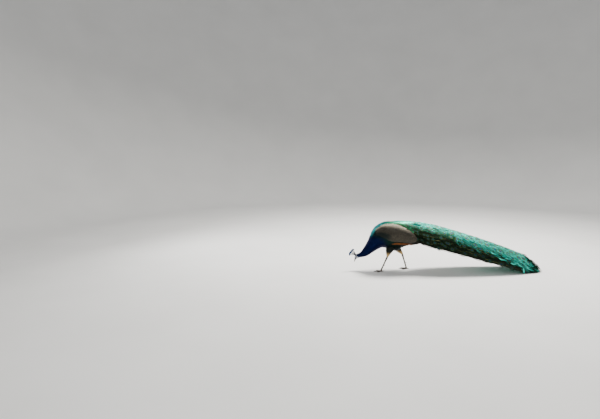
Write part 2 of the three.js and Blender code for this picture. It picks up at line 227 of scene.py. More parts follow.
def trainSurface(a, b, depth=0.0):
    # arch of the train at a, b degrees from its ridge, negative on the left
    row = trainAt(a)
    turn = np.radians(b)
    y = (row[..., 2] - depth) * np.sin(turn)
    z = row[..., 1] - row[..., 3] + (row[..., 3] - depth) * np.cos(turn)
    return np.stack([row[..., 0] + 0 * b, y, np.maximum(z, 1.0)], -1)


def limbSurface(points, radii, flat=1.0):
    # a round limb along points with a radius at each; b turns round it, and flat is width over depth
    path = curveThrough(points)
    size = curveThrough(np.array(radii, float)[:, None])

    def surface(a, b, depth=0.0):
        step = 5e-3
        low, high = np.clip(a - step, 0, 1), np.clip(a + step, 0, 1)
        along = unit(path(high) - path(low))
        across = np.array([0.0, 1.0, 0.0]) - along * along[..., 1:2]
        across = unit(across)
        upright = np.cross(along, across)
        r = (size(a)[..., 0] - depth)[..., None]
        turn = (b * 2 * np.pi)[..., None]
        return path(a) + upright * r * np.cos(turn) + across * r * flat * np.sin(turn)

    return surface


def frameOn(surface, a, b):
    # point, step along and step around per unit of a and b, and the outward normal
    e = 1e-3
    a = np.clip(a, e, 1 - e)
    along = (surface(a + e, b) - surface(a - e, b)) / (2 * e)
    around = (surface(a, b + e) - surface(a, b - e)) / (2 * e)
    return surface(a, b), along, around, unit(np.cross(along, around))


def perMillimetre(steps):
    # how much of a or b one millimetre takes; a step is never less than 0.4 of the usual one, as it would
    # be where a surface folds on the inner side of a bend
    lengths = np.linalg.norm(steps, axis=-1)
    return 1 / np.maximum(lengths, 0.4 * np.median(lengths))


def outward(points, faces):
    # turns every face over where the shape holds a negative volume
    volume = 0.0
    for group in faces:
        a, c = points[group[:, 0]], points[group[:, 2]]
        volume += np.einsum("ij,ij->", a, np.cross(points[group[:, 1]], c))
        if group.shape[1] == 4:
            volume += np.einsum("ij,ij->", a, np.cross(c, points[group[:, 3]]))
    return [group[:, ::-1] for group in faces] if volume < 0 else faces


def part(points, faces, colour, vane, bake):
    # one closed shape or many alike: points, faces in groups of one size, colour and two flat maps
    return {"points": points, "faces": outward(points, faces), "colour": colour, "vane": vane, "bake": bake}


def joined(parts):
    # several shapes as one
    starts = np.cumsum([0] + [len(p["points"]) for p in parts[:-1]])
    faces = [group + start for p, start in zip(parts, starts) for group in p["faces"]]
    whole = {key: np.concatenate([p[key] for p in parts]) for key in ("points", "colour", "vane", "bake")}
    whole["faces"] = faces
    return whole


def makePiece(name, shape, material, slot, nodes=()):
    # a finished piece: its place is in its mesh, and it rides on the bird's one body
    faces = [group.astype(np.int32) for group in shape["faces"] if len(group)]
    corners = np.concatenate([group.ravel() for group in faces])
    counts = np.concatenate([np.full(len(group), group.shape[1]) for group in faces])
    mesh = bpy.data.meshes.new(name)
    mesh.vertices.add(len(shape["points"]))
    mesh.vertices.foreach_set("co", toRow(shape["points"]).astype(np.float32).ravel())
    mesh.loops.add(len(corners))
    mesh.loops.foreach_set("vertex_index", corners)
    mesh.polygons.add(len(counts))
    mesh.polygons.foreach_set("loop_start", np.concatenate([[0], np.cumsum(counts)[:-1]]).astype(np.int32))
    mesh.update(calc_edges=True)
    mesh.polygons.foreach_set("use_smooth", np.ones(len(counts), bool))
    mesh.set_sharp_from_angle(angle=np.radians(60))
    for mapName, key in (("OFBake", "bake"), ("vane", "vane")):
        layer = mesh.uv_layers.new(name=mapName)
        layer.data.foreach_set("uv", shape[key][corners].astype(np.float32).ravel())
    colour = mesh.color_attributes.new("plume", "FLOAT_COLOR", "POINT")
    rgba = np.concatenate([shape["colour"], np.ones((len(shape["points"]), 1))], 1)
    colour.data.foreach_set("color", rgba.astype(np.float32).ravel())
    mesh.materials.append(material)
    piece = bpy.data.objects.new(name, mesh)
    bpy.context.scene.collection.objects.link(piece)
    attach(piece, "root")
    if nodes:
        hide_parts(*nodes)
    print("  ", name, int((counts - 2).sum()), "triangles")


def ringFaces(index):
    # quads between each closed ring of points and the next
    beside = np.roll(index, -1, 1)
    return np.stack([index[:-1], index[1:], beside[1:], beside[:-1]], -1).reshape(-1, 4)


def closedFaces(index, first, last):
    # the same, with triangles that draw the two ends together at the points first and last
    beside = np.roll(index, -1, 1)
    start = np.stack([np.full(index.shape[1], first), index[0], beside[0]], -1)
    end = np.stack([np.full(index.shape[1], last), beside[-1], index[-1]], -1)
    return [ringFaces(index), start, end]


def manyFaces(form, count):
    # the faces of many shapes of one form, set one after the other
    starts = (np.arange(count) * len(form["u"]))[:, None, None]
    return [(group[None] + starts).reshape(-1, group.shape[1]) for group in form["faces"]]


def fullTurn(count):
    # angles of places spaced evenly round a circle
    return np.arange(count) / count * 2 * np.pi


def limbGrid(start, end, rows, columns):
    # a from start to end along a limb, b once round it
    return np.meshgrid(np.linspace(start, end, rows), np.arange(columns) / columns, indexing="ij")


def gridShares(rows, columns):
    # shares from 0 to 1 both ways over a grid
    u, v = np.meshgrid(np.linspace(0, 1, rows), np.linspace(0, 1, columns), indexing="ij")
    return np.stack([u.ravel(), v.ravel()], -1)


def tube(grid, colour, unwrap=(0, 1, 0, 1)):
    # a closed skin over rings of points, each end drawn together to the middle of its ring
    rows, columns = grid.shape[:2]
    size = rows * columns
    faces = closedFaces(np.arange(size).reshape(rows, columns), size, size + 1)
    points = np.concatenate([grid.reshape(-1, 3), [grid[0].mean(0)], [grid[-1].mean(0)]])
    colour = np.concatenate([colour.reshape(-1, 3), [colour[0].mean(0)], [colour[-1].mean(0)]])
    vane = np.concatenate([gridShares(rows, columns), [[0, 0.5]], [[1, 0.5]]])
    low, high = np.array([unwrap[0], unwrap[2]]), np.array([unwrap[1], unwrap[3]])
    return part(points, faces, colour, vane, low + vane * (high - low))


def shell(outer, inner, colour):
    # a closed sheet between two grids of points, with a strip of faces round its four edges
    rows, columns = outer.shape[:2]
    top = np.arange(rows * columns).reshape(rows, columns)
    bottom = top + rows * columns

    def quads(*corners):
        return np.stack([c.ravel() for c in corners], -1)

    faces = [
        quads(top[:-1, :-1], top[1:, :-1], top[1:, 1:], top[:-1, 1:]),
        quads(bottom[:-1, :-1], bottom[:-1, 1:], bottom[1:, 1:], bottom[1:, :-1]),
        quads(top[0, :-1], top[0, 1:], bottom[0, 1:], bottom[0, :-1]),
        quads(top[-1, 1:], top[-1, :-1], bottom[-1, :-1], bottom[-1, 1:]),
        quads(top[1:, 0], top[:-1, 0], bottom[:-1, 0], bottom[1:, 0]),
        quads(top[:-1, -1], top[1:, -1], bottom[1:, -1], bottom[:-1, -1]),
    ]
    points = np.concatenate([outer.reshape(-1, 3), inner.reshape(-1, 3)])
    colour = np.concatenate([colour.reshape(-1, 3)] * 2)
    vane = gridShares(rows, columns)
    bake = np.concatenate([vane * [0.48, 1], vane * [0.48, 1] + [0.51, 0]])
    return part(points, faces, colour, np.concatenate([vane, vane]), bake)


def vaneForm(stations, section):
    # A vane as rings of points between a root and a tip. stations: (share of length, share of width);
    # section: (across, up) round one ring. edge is 0 on the shaft and 1 at the rim and the tip.
    along = np.array([0.0] + [u for u, _ in stations for _ in section] + [1.0])
    across = np.array([0.0] + [w * c for _, w in stations for c, _ in section] + [0.0])
    up = np.array([0.0] + [h for _ in stations for _, h in section] + [0.0])
    edge = np.array([0.0] + [abs(c) for _ in stations for c, _ in section] + [1.0])
    ring = 1 + np.arange(len(stations) * len(section)).reshape(-1, len(section))
    return {"u": along, "w": across, "h": up, "edge": edge, "faces": closedFaces(ring, 0, len(along) - 1)}


# sections of a vane: a flat diamond and a flat wedge
diamond = [(-1, 0), (0, 1), (1, 0), (0, -1)]
wedge = [(-1, 0), (0, 1), (1, 0)]
forms = {
    "scale": vaneForm([(0.25, 0.62), (0.62, 1.0), (0.9, 0.66)], diamond),
    "round": vaneForm([(0.15, 0.5), (0.45, 0.92), (0.75, 1.0), (0.93, 0.6)], diamond),
    "long": vaneForm([(0.05, 0.4), (0.2, 0.85), (0.5, 1.0), (0.8, 0.92), (0.94, 0.62)], diamond),
    "barb": vaneForm([(0.3, 1.0), (0.75, 0.85)], wedge),
    "hair": vaneForm([(0.2, 1.0), (0.5, 0.9), (0.8, 0.65)], wedge),
}


def layVanes(surface, a, b, form, length, width, turn=0.0, low=-3.0, high=0.5, thick=0.35,
             camber=0.6, bend=0.0, rise=0.8, patch=0.003, unwrap=(1.0, 0.0, 1.0, 0.0)):
    # Each vane's point, u of its length and w of its half width out, lies over the surface at
    # length u along and width w / 2 + bend u^2 across, turned by turn; its height over the surface
    # is low + (high - low) u^rise + thick h - camber w^2.
    count = len(a)

    def column(value):
        return np.broadcast_to(value, (count,))[:, None]

    u, w, h = form["u"], form["w"], form["h"]
    forward = column(length) * u
    sideways = column(width) / 2 * w + column(bend) * u**2
    cosTurn, sinTurn = np.cos(column(turn)), np.sin(column(turn))
    _, along, around, _ = frameOn(surface, a, b)
    perA, perB = perMillimetre(along)[:, None], perMillimetre(around)[:, None]
    placeA = a[:, None] + (forward * cosTurn - sideways * sinTurn) * perA
    placeB = b[:, None] + (forward * sinTurn + sideways * cosTurn) * perB
    beyond = np.maximum(placeA - 0.999, 0) / perA
    point, along, _, normal = frameOn(surface, placeA, placeB)
    slope = column(low) + column(high - np.asarray(low)) * u**rise
    height = slope + column(thick) * h - column(camber) * w**2
    point = point + normal * height[..., None] + unit(along) * beyond[..., None]
    point[..., 2] = np.maximum(point[..., 2], 0.3)
    scaleU, startU, scaleV, startV = unwrap
    bakeU = startU + scaleU * a[:, None] + (u - 0.5) * patch
    bakeV = startV + scaleV * b[:, None] + w * patch / 2
    # the map of the vane: decimetres along it, and 0 to 1 across
    vane = np.stack([column(length) * u / 100, np.broadcast_to(w / 2 + 0.5, bakeU.shape)], -1)
    bake = np.stack([bakeU, bakeV], -1)
    return part(point.reshape(-1, 3), manyFaces(form, count), None, vane.reshape(-1, 2), bake.reshape(-1, 2))


def paint(shape, form, core, rim, rimShare=0.6, jitter=0.12, seed=1, tip=None):
    # core colour along the shaft, mixed towards rim at the edges; each vane lighter or darker by jitter
    count = len(core)
    rng = np.random.default_rng(seed)
    light = 1 + jitter * rng.uniform(-1, 1, (count, 1, 1))
    share = (form["edge"] * rimShare)[None, :, None]
    colour = mix(core[:, None, :], np.broadcast_to(rim, core.shape)[:, None, :], share)
    if tip is not None:
        colour = mix(colour, np.broadcast_to(tip, core.shape)[:, None, :], (form["u"] ** 3)[None, :, None])
    shape["colour"] = np.clip(colour * light, 0, 1).reshape(-1, 3)
    return shape


def rowsOver(surface, start, end, edges, pitch, seed, jitter=0.18):
    # Places of feathers in rows a pitch apart. edges(a) gives a row's two ends; pitch(a) gives the
    # distance between rows and between neighbours in a row. Every other row is set half a place over.
    rng = np.random.default_rng(seed)
    allA, allB, a, odd = [], [], start, 0
    while a < end:
        low, high = edges(a)
        between, beside = pitch(a)
        steps = np.linspace(low, high, 49)
        line, along, _, _ = frameOn(surface, np.full_like(steps, a), steps)
        lengths = np.concatenate([[0], np.cumsum(np.linalg.norm(np.diff(line, axis=0), axis=1))])
        count = max(int(round(lengths[-1] / beside)), 1)
        shares = (np.arange(count) + 0.25 + 0.5 * odd) / count
        places = shares * lengths[-1] + rng.uniform(-jitter, jitter, count) * beside
        allB.append(np.interp(places, lengths, steps))
        stride = between / np.linalg.norm(along, axis=-1).mean()
        allA.append(a + rng.uniform(-jitter, jitter, count) * stride)
        a += stride
        odd = 1 - odd
    return np.concatenate(allA), np.concatenate(allB)


def mathNode(tree, operation, *values):
    # one sum on numbers or on other nodes' outputs
    node = tree.nodes.new("ShaderNodeMath")
    node.operation = operation
    for socket, value in zip(node.inputs, values):
        if isinstance(value, bpy.types.NodeSocket):
            tree.links.new(value, socket)
        else:
            socket.default_value = value
    return node.outputs[0]


def mixNode(tree, kind, share, a, b):
    # two colours mixed or multiplied, each a colour or a node's output
    node = tree.nodes.new("ShaderNodeMix")
    node.data_type = "RGBA"
    node.blend_type = kind
    for socket, value in zip((node.inputs[0], node.inputs[6], node.inputs[7]), (share, a, b)):
        if isinstance(value, bpy.types.NodeSocket):
            tree.links.new(value, socket)
        elif isinstance(value, (int, float)):
            socket.default_value = value
        else:
            socket.default_value = (*value, 1)
    return node.outputs[2]


def noiseNode(tree, scale, detail=3.0, vector=None):
    # soft noise from 0 to 1, over the object's own place unless another is given
    node = tree.nodes.new("ShaderNodeTexNoise")
    node.inputs["Scale"].default_value = scale
    node.inputs["Detail"].default_value = detail
    if vector is None:
        vector = tree.nodes.new("ShaderNodeTexCoord").outputs["Object"]
    tree.links.new(vector, node.inputs["Vector"])
    return node.outputs[0]


def rangeNode(tree, value, low, high, newLow, newHigh):
    # a value from low to high becomes one from newLow to newHigh, and stays between them
    node = tree.nodes.new("ShaderNodeMapRange")
    tree.links.new(value, node.inputs[0])
    for socket, number in zip(node.inputs[1:5], (low, high, newLow, newHigh)):
        socket.default_value = number
    return node.outputs[0]


def vaneNode(tree):
    # along the vane, out from its shaft from 0 to 1, and across from one edge to the other from 0 to 1
    node = tree.nodes.new("ShaderNodeUVMap")
    node.uv_map = "vane"
    split = tree.nodes.new("ShaderNodeSeparateXYZ")
    tree.links.new(node.outputs[0], split.inputs[0])
    out = mathNode(tree, "ABSOLUTE", mathNode(tree, "MULTIPLY_ADD", split.outputs[1], 2.0, -1.0))
    return split.outputs[0], out, split.outputs[1]


def ownColour(tree):
    # the colours that the mesh carries
    node = tree.nodes.new("ShaderNodeVertexColor")
    node.layer_name = "plume"
    return node.outputs[0]


def scaledPlace(tree, place, scale):
    # a place stretched by a scale each way, for a pattern
    node = tree.nodes.new("ShaderNodeMapping")
    node.inputs["Scale"].default_value = scale
    tree.links.new(place, node.inputs["Vector"])
    return node.outputs[0]


def newMaterial(name, values):
    # a Principled shader with its constant values set on its own sockets
    material = bpy.data.materials.new(name)
    material.use_nodes = True
    tree = material.node_tree
    shader = tree.nodes["Principled BSDF"]
    for socket, value in values.items():
        shader.inputs[socket].default_value = value
    return material, tree, shader


def finishColour(tree, shader, colour, light):
    # base colour = colour times light
    tree.links.new(mixNode(tree, "MULTIPLY", 1.0, colour, light), shader.inputs["Base Color"])


def finishBump(tree, shader, height, strength, distance):
    # fine relief from a height, over a distance in metres
    bump = tree.nodes.new("ShaderNodeBump")
    bump.inputs["Strength"].default_value = strength
    bump.inputs["Distance"].default_value = distance
    tree.links.new(height, bump.inputs["Height"])
    tree.links.new(bump.outputs[0], shader.inputs["Normal"])


def plumeMaterial(name, values, barbs=26.0, barbShade=0.16, patchShade=0.25, patchScale=45.0, rim=0.0):
    # Feather colour from the mesh, in light and dark patches, with barbs that slant back from the
    # shaft: light = 1 + shade sin(2 pi barbs (along - 0.4 out)). A rim darkens the vane's margin, where
    # sqrt(out^2 + (2 along - 1)^2) passes 0.78 to 0.9 on the half towards the tip.
    material, tree, shader = newMaterial(name, values)
    along, out, _ = vaneNode(tree)
    slant = mathNode(tree, "MULTIPLY_ADD", out, -0.4, along)
    wave = mathNode(tree, "SINE", mathNode(tree, "MULTIPLY", slant, barbs * 2 * np.pi))
    barb = rangeNode(tree, wave, -1, 1, 1 - barbShade, 1 + barbShade)
    patches = rangeNode(tree, noiseNode(tree, patchScale), 0.3, 0.7, 1 - patchShade, 1 + patchShade)
    light = mathNode(tree, "MULTIPLY", barb, patches)
    if rim:
        past = mathNode(tree, "MAXIMUM", mathNode(tree, "MULTIPLY_ADD", along, 2.0, -1.0), 0.0)
        square = mathNode(tree, "MULTIPLY_ADD", out, out, mathNode(tree, "MULTIPLY", past, past))
        margin = rangeNode(tree, mathNode(tree, "SQRT", square), 0.78, 0.9, 1.0, 1.0 - rim)
        light = mathNode(tree, "MULTIPLY", light, margin)
    finishColour(tree, shader, ownColour(tree), light)
    finishBump(tree, shader, wave, 0.35, 0.0004)
    return material


gloss = {"Metallic": 0.6, "Roughness": 0.4, "Specular IOR Level": 0.2, "Specular Tint": (0.4, 0.45, 0.5, 1)}
matt = {"Roughness": 0.75, "Specular IOR Level": 0.2, "Sheen Weight": 0.05, "Sheen Roughness": 0.4}
blueFinish = plumeMaterial("blueFinish", {**gloss, "Specular Tint": (0.25, 0.35, 0.6, 1)})
darkFinish = plumeMaterial("darkFinish", {**gloss, "Metallic": 0.35, "Roughness": 0.45})
backFinish = plumeMaterial("backFinish", {**gloss, "Roughness": 0.38}, rim=0.86)
trainFinish = plumeMaterial("trainFinish", {**gloss, "Metallic": 0.4, "Roughness": 0.42}, barbs=3.0)
mattFinish = plumeMaterial("mattFinish", matt)
print("materials ready")


# the eye: its share of the body line, how far above the line and out to the side it lies, and its sizes
eye = {"at": 0.128, "rise": 2.2, "out": 12.4, "radius": 6.6, "opening": 4.9, "lidEnd": 8.0,
       "run": 880}  # run: millimetres along the head per unit of the body line
_, eyeMiddle, eyeBack, eyeUp = bodyFrame(np.array(eye["at"]))
eyeMiddle = eyeMiddle + eyeUp * eye["rise"]


def coatDepth(a):
    # depth of the coat over the skin: thin on the head, deeper down the neck and on the trunk
    return 1.2 + 2.8 * smooth(a, 0.2, 0.36) + 5 * smooth(a, 0.45, 0.65)


def faceAxes(point):
    # how far a point lies behind and above the eye, along the head
    away = point - eyeMiddle
    return away @ eyeBack, away @ eyeUp


def bareFace(point):
    # 1 on the two bare patches: a stripe over the eye, and a crescent below it
    back, up = faceAxes(point)
    above = bell(up, 7.9 - 0.013 * (back + 1) ** 2, 2.3) * smooth(back, -17, -13) * smooth(-back, -15, -11)
    reach = np.hypot((back - 1) * 0.8, up + 2.0)
    below = smooth(reach, 4.5, 6.0) * smooth(-reach, -12.6, -10.8) * smooth(-up, 3.2, 4.8)
    side = smooth(np.abs(point[..., 1]), 6, 9)
    return np.clip(above * 1.3 + below, 0, 1) * side


def fromTop(b):
    # degrees round the section from straight up, 0 to 180 on both sides
    return np.abs((b + 0.5) % 1 - 0.5) * 360


def bodyTone(a, b):
    # cobalt head and neck, turquoise shoulders and bronze-green back, green-black breast and belly
    a, angle = np.asarray(a)[..., None], fromTop(b)[..., None]
    neck = mix(tones["crownBlue"], tones["cobalt"], smooth(a, 0.1, 0.24))
    neck = mix(neck, tones["throat"], smooth(angle, 120, 175) * smooth(-a, -0.3, -0.1))
    back = mix(tones["turquoise"], tones["scaleGreen"], smooth(a, 0.66, 0.76))
    lower = mix(tones["blackGreen"], tones["nearBlack"], smooth(angle, 90, 150))
    lower = mix(lower, tones["ventBrown"], smooth(a, 0.92, 0.98))
    trunk = mix(back, lower, smooth(angle, 13, 38))
    edge = 0.57 + 0.06 * smooth(angle, 30, 100)
    return mix(neck, trunk, smooth(a, edge - 0.04, edge + 0.05))


def headShape(point, normal):
    # brow, cheek and ear swell the head, and the lores and the ring round the eye are hollow
    back, up = faceAxes(point)
    ring = np.hypot(back, up)
    lift = 0.9 * bell(up, 8.5, 3.2) * bell(back, -1, 9) + 0.9 * bell(up, -9, 5) * bell(back, 7, 7)
    lift = lift - 1.1 * bell(back, -11.5, 4) * bell(up, 1, 4) - 0.7 * bell(ring, 9.5, 1.8)
    return point + normal * (lift * smooth(np.abs(point[..., 1]), 4, 9))[..., None]


def makeSkin():
    # The skin lies below the coat by its depth, but comes up on the bare patches; two thighs and two pairs
    # of lids are part of it.
    # rows stand closest on the head
    rows = [np.linspace(0.002, 0.268, 96), np.linspace(0.275, 0.6, 50), np.linspace(0.61, 0.999, 60)]
    rows = np.concatenate(rows)
    a, b = np.meshgrid(rows, np.arange(128) / 128, indexing="ij")
    bare = bareFace(bodySurface(a, b))
    grid = bodySurface(a, b, coatDepth(a) - 0.8 * bare)
    _, _, _, normal = frameOn(bodySurface, a, b)
    grid = headShape(grid, normal * smooth(-a, -0.26, -0.2)[..., None])
    # painted shade: the skin takes the coat's colour darkened by 0.8, where it shows between feathers
    colour = mix(bodyTone(a, b) * 0.8, tones["bareSkin"], bare[..., None])
    parts = [tube(grid, colour, (0.02, 0.66, 0.02, 0.98))]
    for name, side in sides.items():
        surface = thighSurfaces[name]
        a, b = limbGrid(0.02, 0.985, 40, 40)
        low = 0.5 * (1 + side)
        unwrap = (0.7, 0.98, 0.02 + 0.5 * low, 0.46 + 0.5 * low)
        point = surface(a, b, 4.5 - 3.3 * a + 1.8 * thighDip(a))
        # painted shade: the thigh's skin is darkened by 0.8 where it shows between feathers
        parts.append(tube(point, thighTone(point) * 0.8, unwrap))
    parts += [makeLids(side) for side in sides.values()]
    nodes = ["head", "neck_upper", "neck_lower", "trunk", "thigh_left", "thigh_right"]
    makePiece("skin", joined(parts), skinFinish, "blue_plumage", nodes)


def makeLids(side):
    # Two lids as one ring: out from the opening they leave the eyeball and blend into the skin:
    # point = ball (1 - k) + skin k, k rising smoothly from the opening to the lids' outer end.
    turn, share = np.meshgrid(fullTurn(48), np.linspace(0, 1, 15), indexing="ij")
    almond = 1 - 0.14 * np.abs(np.sin(turn)) + 0.07 * np.cos(turn) ** 8
    start = eye["opening"] * almond
    reach = mix(start, eye["lidEnd"], share)
    offset = reach[..., None] * (eyeBack * np.cos(turn)[..., None] + eyeUp * np.sin(turn)[..., None])
    out = np.array([0.0, side, 0.0])
    centre = eyeMiddle + out * eye["out"]
    inBall = np.minimum(reach, 6.0)
    ball = centre + offset * (inBall / reach)[..., None]
    ball = ball + out * (np.sqrt(eye["radius"] ** 2 - inBall**2) + 0.55)[..., None]
    up = offset @ eyeUp + eye["rise"]
    row = bodyAt(eye["at"] + (offset @ eyeBack) / eye["run"])
    depth = coatDepth(eye["at"]) - 0.5
    tall = np.where(up > 0, row[..., 2], row[..., 3]) - depth
    wide = (row[..., 4] - depth) * np.sqrt(np.clip(1 - (up / tall) ** 2, 0.05, 1))
    skin = eyeMiddle + offset + out * (wide - 0.5 * share)[..., None]
    folds = 0.16 * np.sin(share * 5 * np.pi) * np.sin(share * np.pi)
    blend = smooth(share, 0.08, 0.95)[..., None]
    outer = mix(ball, skin, blend) + out * folds[..., None]
    inner = outer - out * (0.5 + 1.2 * share)[..., None]
    rim = smooth(-share, -0.3, -0.06)[..., None]
    line = bell(np.sin(turn), 0, 0.42)[..., None] * smooth(share, 0.1, 0.45)[..., None]
    colour = mix(mix(tones["bareSkin"], tones["lidRim"], rim), tones["crownBlue"] * 0.4, line)
    return torus(np.concatenate([outer, inner[:, ::-1]], 1), np.concatenate([colour, colour[:, ::-1]], 1))


def torus(grid, colour):
    # a closed skin over a grid that wraps both ways
    rows, columns = grid.shape[:2]
    index = np.arange(rows * columns).reshape(rows, columns)
    below, beside = np.roll(index, -1, 0), np.roll(index, -1, 1)
    quads = np.stack([index, below, np.roll(below, -1, 1), beside], -1).reshape(-1, 4)
    bake = np.array([0.68, 0.5]) + 0.01 * np.stack([index / index.size] * 2, -1).reshape(-1, 2)
    return part(grid.reshape(-1, 3), [quads], colour.reshape(-1, 3), np.zeros((index.size, 2)), bake)


skinFinish, skinTree, skinShader = newMaterial(
    "skinFinish", {"Roughness": 0.6, "Subsurface Weight": 0.05, "Subsurface Scale": 0.002})
skinLight = rangeNode(skinTree, noiseNode(skinTree, 160.0), 0.3, 0.7, 0.86, 1.1)
finishColour(skinTree, skinShader, ownColour(skinTree), skinLight)
pores = noiseNode(skinTree, 900.0, 2.0)
finishBump(skinTree, skinShader, pores, 0.5, 0.0006)


# where the legs stand: y of each leg, and x and z of its joints
legs = {
    "left": {"y": -52, "hip": (-34, 260), "middle": (-56, 206), "hock": (-69, 152), "heel": (-126, 19)},
    "right": {"y": 52, "hip": (12, 262), "middle": (51, 208), "hock": (98, 154), "heel": (141, 19)},
}
thigh = {"hipY": 0.9, "radii": [56, 33, 9.5], "flat": 0.8, "darkAbove": 192}
thighSurfaces = {
    name: limbSurface(
        [(leg["hip"][0], leg["y"] * thigh["hipY"], leg["hip"][1]),
         (leg["middle"][0], leg["y"], leg["middle"][1]),
         (leg["hock"][0], leg["y"], leg["hock"][1])],
        thigh["radii"], thigh["flat"])
    for name, leg in legs.items()
}


def thighDip(a):
    # the top of a thigh sinks by 12 under the feathers of the trunk
    return 12 * smooth(-a, -0.34, -0.02)


def thighTone(point):
    # dark under the belly, buff from there down to the hock
    share = smooth(point[..., 2], thigh["darkAbove"] - 20, thigh["darkAbove"] + 26)[..., None]
    return mix(tones["buff"], tones["nearBlack"], share)


makeSkin()
print("skin made")


# feathers of head, neck and trunk: shares of the body line, length at both ends, width over length
coats = {
    "head": {"from": 0.02, "to": 0.26, "length": (3.4, 8.5), "wide": 0.6, "overlap": 0.34, "jitter": 0.18,
             "form": "scale", "finish": blueFinish, "slot": "blue_plumage"},
    "neck": {"from": 0.255, "to": 0.585, "length": (8.5, 21), "wide": 0.46, "overlap": 0.27, "jitter": 0.18,
             "form": "round", "finish": blueFinish, "slot": "blue_plumage"},
    "trunk": {"from": 0.57, "to": 0.985, "length": (22, 32), "wide": 0.64, "overlap": 0.33, "jitter": 0.07,
              "form": "round", "finish": backFinish, "slot": "dark_plumage"},
}
mantle = {"from": -240, "to": -186, "above": 330, "most": 26}  # x of its start, lowest z, most rise


def onWing(point):
    # the wing's row beside a point, the point's angle on the wing's arch, and its reach as a share of it
    row = wingAt(np.interp(point[..., 0], wingX, wingShares))
    rise = point[..., 2] - row[..., 1]
    tall = rise / np.where(rise > 0, row[..., 2], row[..., 3])
    wide = np.abs(point[..., 1]) / row[..., 4]
    return row, np.degrees(np.arctan2(wide, tall)), np.hypot(wide, tall)


def wingCover(point):
    # degrees inside the folded wing's edges, negative outside them
    row, angle, _ = onWing(point)
    inside = np.minimum(angle - row[..., 5], row[..., 6] - angle)
    return np.where((point[..., 0] > -214) & (point[..., 0] < 186), inside, -90)


def wingLift(point):
    # how far the wing's outer face stands over a point: (1 / share - 1) of the point's distance
    row, _, share = onWing(point)
    return (1 / share - 1) * np.hypot(point[..., 1], point[..., 2] - row[..., 1])


def wingDip(a):
    # the wing's front sinks by 6 under the feathers of the shoulder
    return 6 * smooth(-a, -0.14, 0.0)


def betweenWings(point):
    # how far the wings' arch stands over the trunk between and just before them; the mantle fills it
    row = wingAt(np.interp(point[..., 0], wingX, wingShares))
    turn = np.arcsin(np.clip(np.abs(point[..., 1]) / row[..., 4], 0, 0.98))
    arch = row[..., 1] + row[..., 2] * np.cos(turn)
    inside = smooth(-np.degrees(turn), -row[..., 5] - 10, -row[..., 5] - 3)
    ramp = smooth(point[..., 0], mantle["from"], mantle["to"]) * (point[..., 2] > mantle["above"])
    return np.clip(arch - point[..., 2] + 1.5, 0, mantle["most"]) * inside * ramp


def makeCoat(name, seed):
    # rows of feathers over the body; those before the wings rise to cover the step onto them
    coat = coats[name]
    form = forms[coat["form"]]

    def lengthAt(a):
        return mix(*coat["length"], np.clip((a - coat["from"]) / (coat["to"] - coat["from"]), 0, 1))

    def pitch(a):
        return lengthAt(a) * coat["overlap"], lengthAt(a) * coat["wide"] * 0.62

    a, b = rowsOver(bodySurface, coat["from"], coat["to"], lambda a: (0.0, 1.0), pitch, seed, coat["jitter"])
    point = bodySurface(a, b)
    if name == "head":
        # none on the bare patches or the lids, but all along the middle
        offLids = np.hypot(*faceAxes(point)) > eye["lidEnd"] - 0.8
        keep = (bareFace(point) < 0.35) & offLids | (np.abs(point[:, 1]) < 6)
    else:
        # none deep under a wing or under the root of the train
        hidden = (fromTop(b) < 34) & (point[:, 0] > 8)
        keep = ((wingCover(point) < 14) | (point[:, 0] < mantle["to"])) & ~hidden
    a, b, point = a[keep], b[keep], point[keep]
    rng = np.random.default_rng(seed + 50)
    length = lengthAt(a) * rng.uniform(0.9, 1.12, len(a))
    depth = coatDepth(a)
    turn = rng.normal(0, coat["jitter"] / 2, len(a))
    onBack = smooth(-fromTop(b), -64, -44) * smooth(a, 0.56, 0.62)
    length = length * mix(1, 0.72, onBack)
    width = length * coat["wide"] * mix(1, 1.25, onBack)
    raised = betweenWings(point)
    _, along, _, _ = frameOn(bodySurface, a, b)
    end = bodySurface(np.minimum(a + length * perMillimetre(along), 0.999), b)
    overWing = np.clip(wingLift(end) - 3.5, 0, 15) * smooth(wingCover(end), -8, 4)
    overWing = overWing * smooth(-end[:, 0], 120, 170)
    sunk = np.minimum(depth * 0.8, 0.09 * length + 0.4)
    loose = rng.uniform(-0.15, 0.35, len(a)) * np.minimum(depth / 3, 1.2)
    vanes = layVanes(bodySurface, a, b, form, length, width, turn, low=raised * 0.92 - sunk,
                     high=np.maximum(raised, overWing) + loose, thick=0.08 + 0.012 * depth,
                     camber=0.012 * width, unwrap=(0.96, 0.02, 0.96, 0.02))
    core = bodyTone(a, b)
    paint(vanes, form, core * 1.1, core * 0.72, 0.45, 0.1, seed)
    if name == "trunk":
        # the dark margin of each feather fades out from the back down to the belly
        share = mix(0.75, 1, np.repeat(onBack, len(form["u"])))
        out = np.tile(form["w"], len(a)) * share
        vanes["vane"] = np.stack([np.tile(form["u"], len(a)) * share, 0.5 + out / 2], -1)
    makePiece("coat_" + name, vanes, coat["finish"], coat["slot"])


for index, name in enumerate(coats):
    makeCoat(name, 10 + index)
print("coat made")


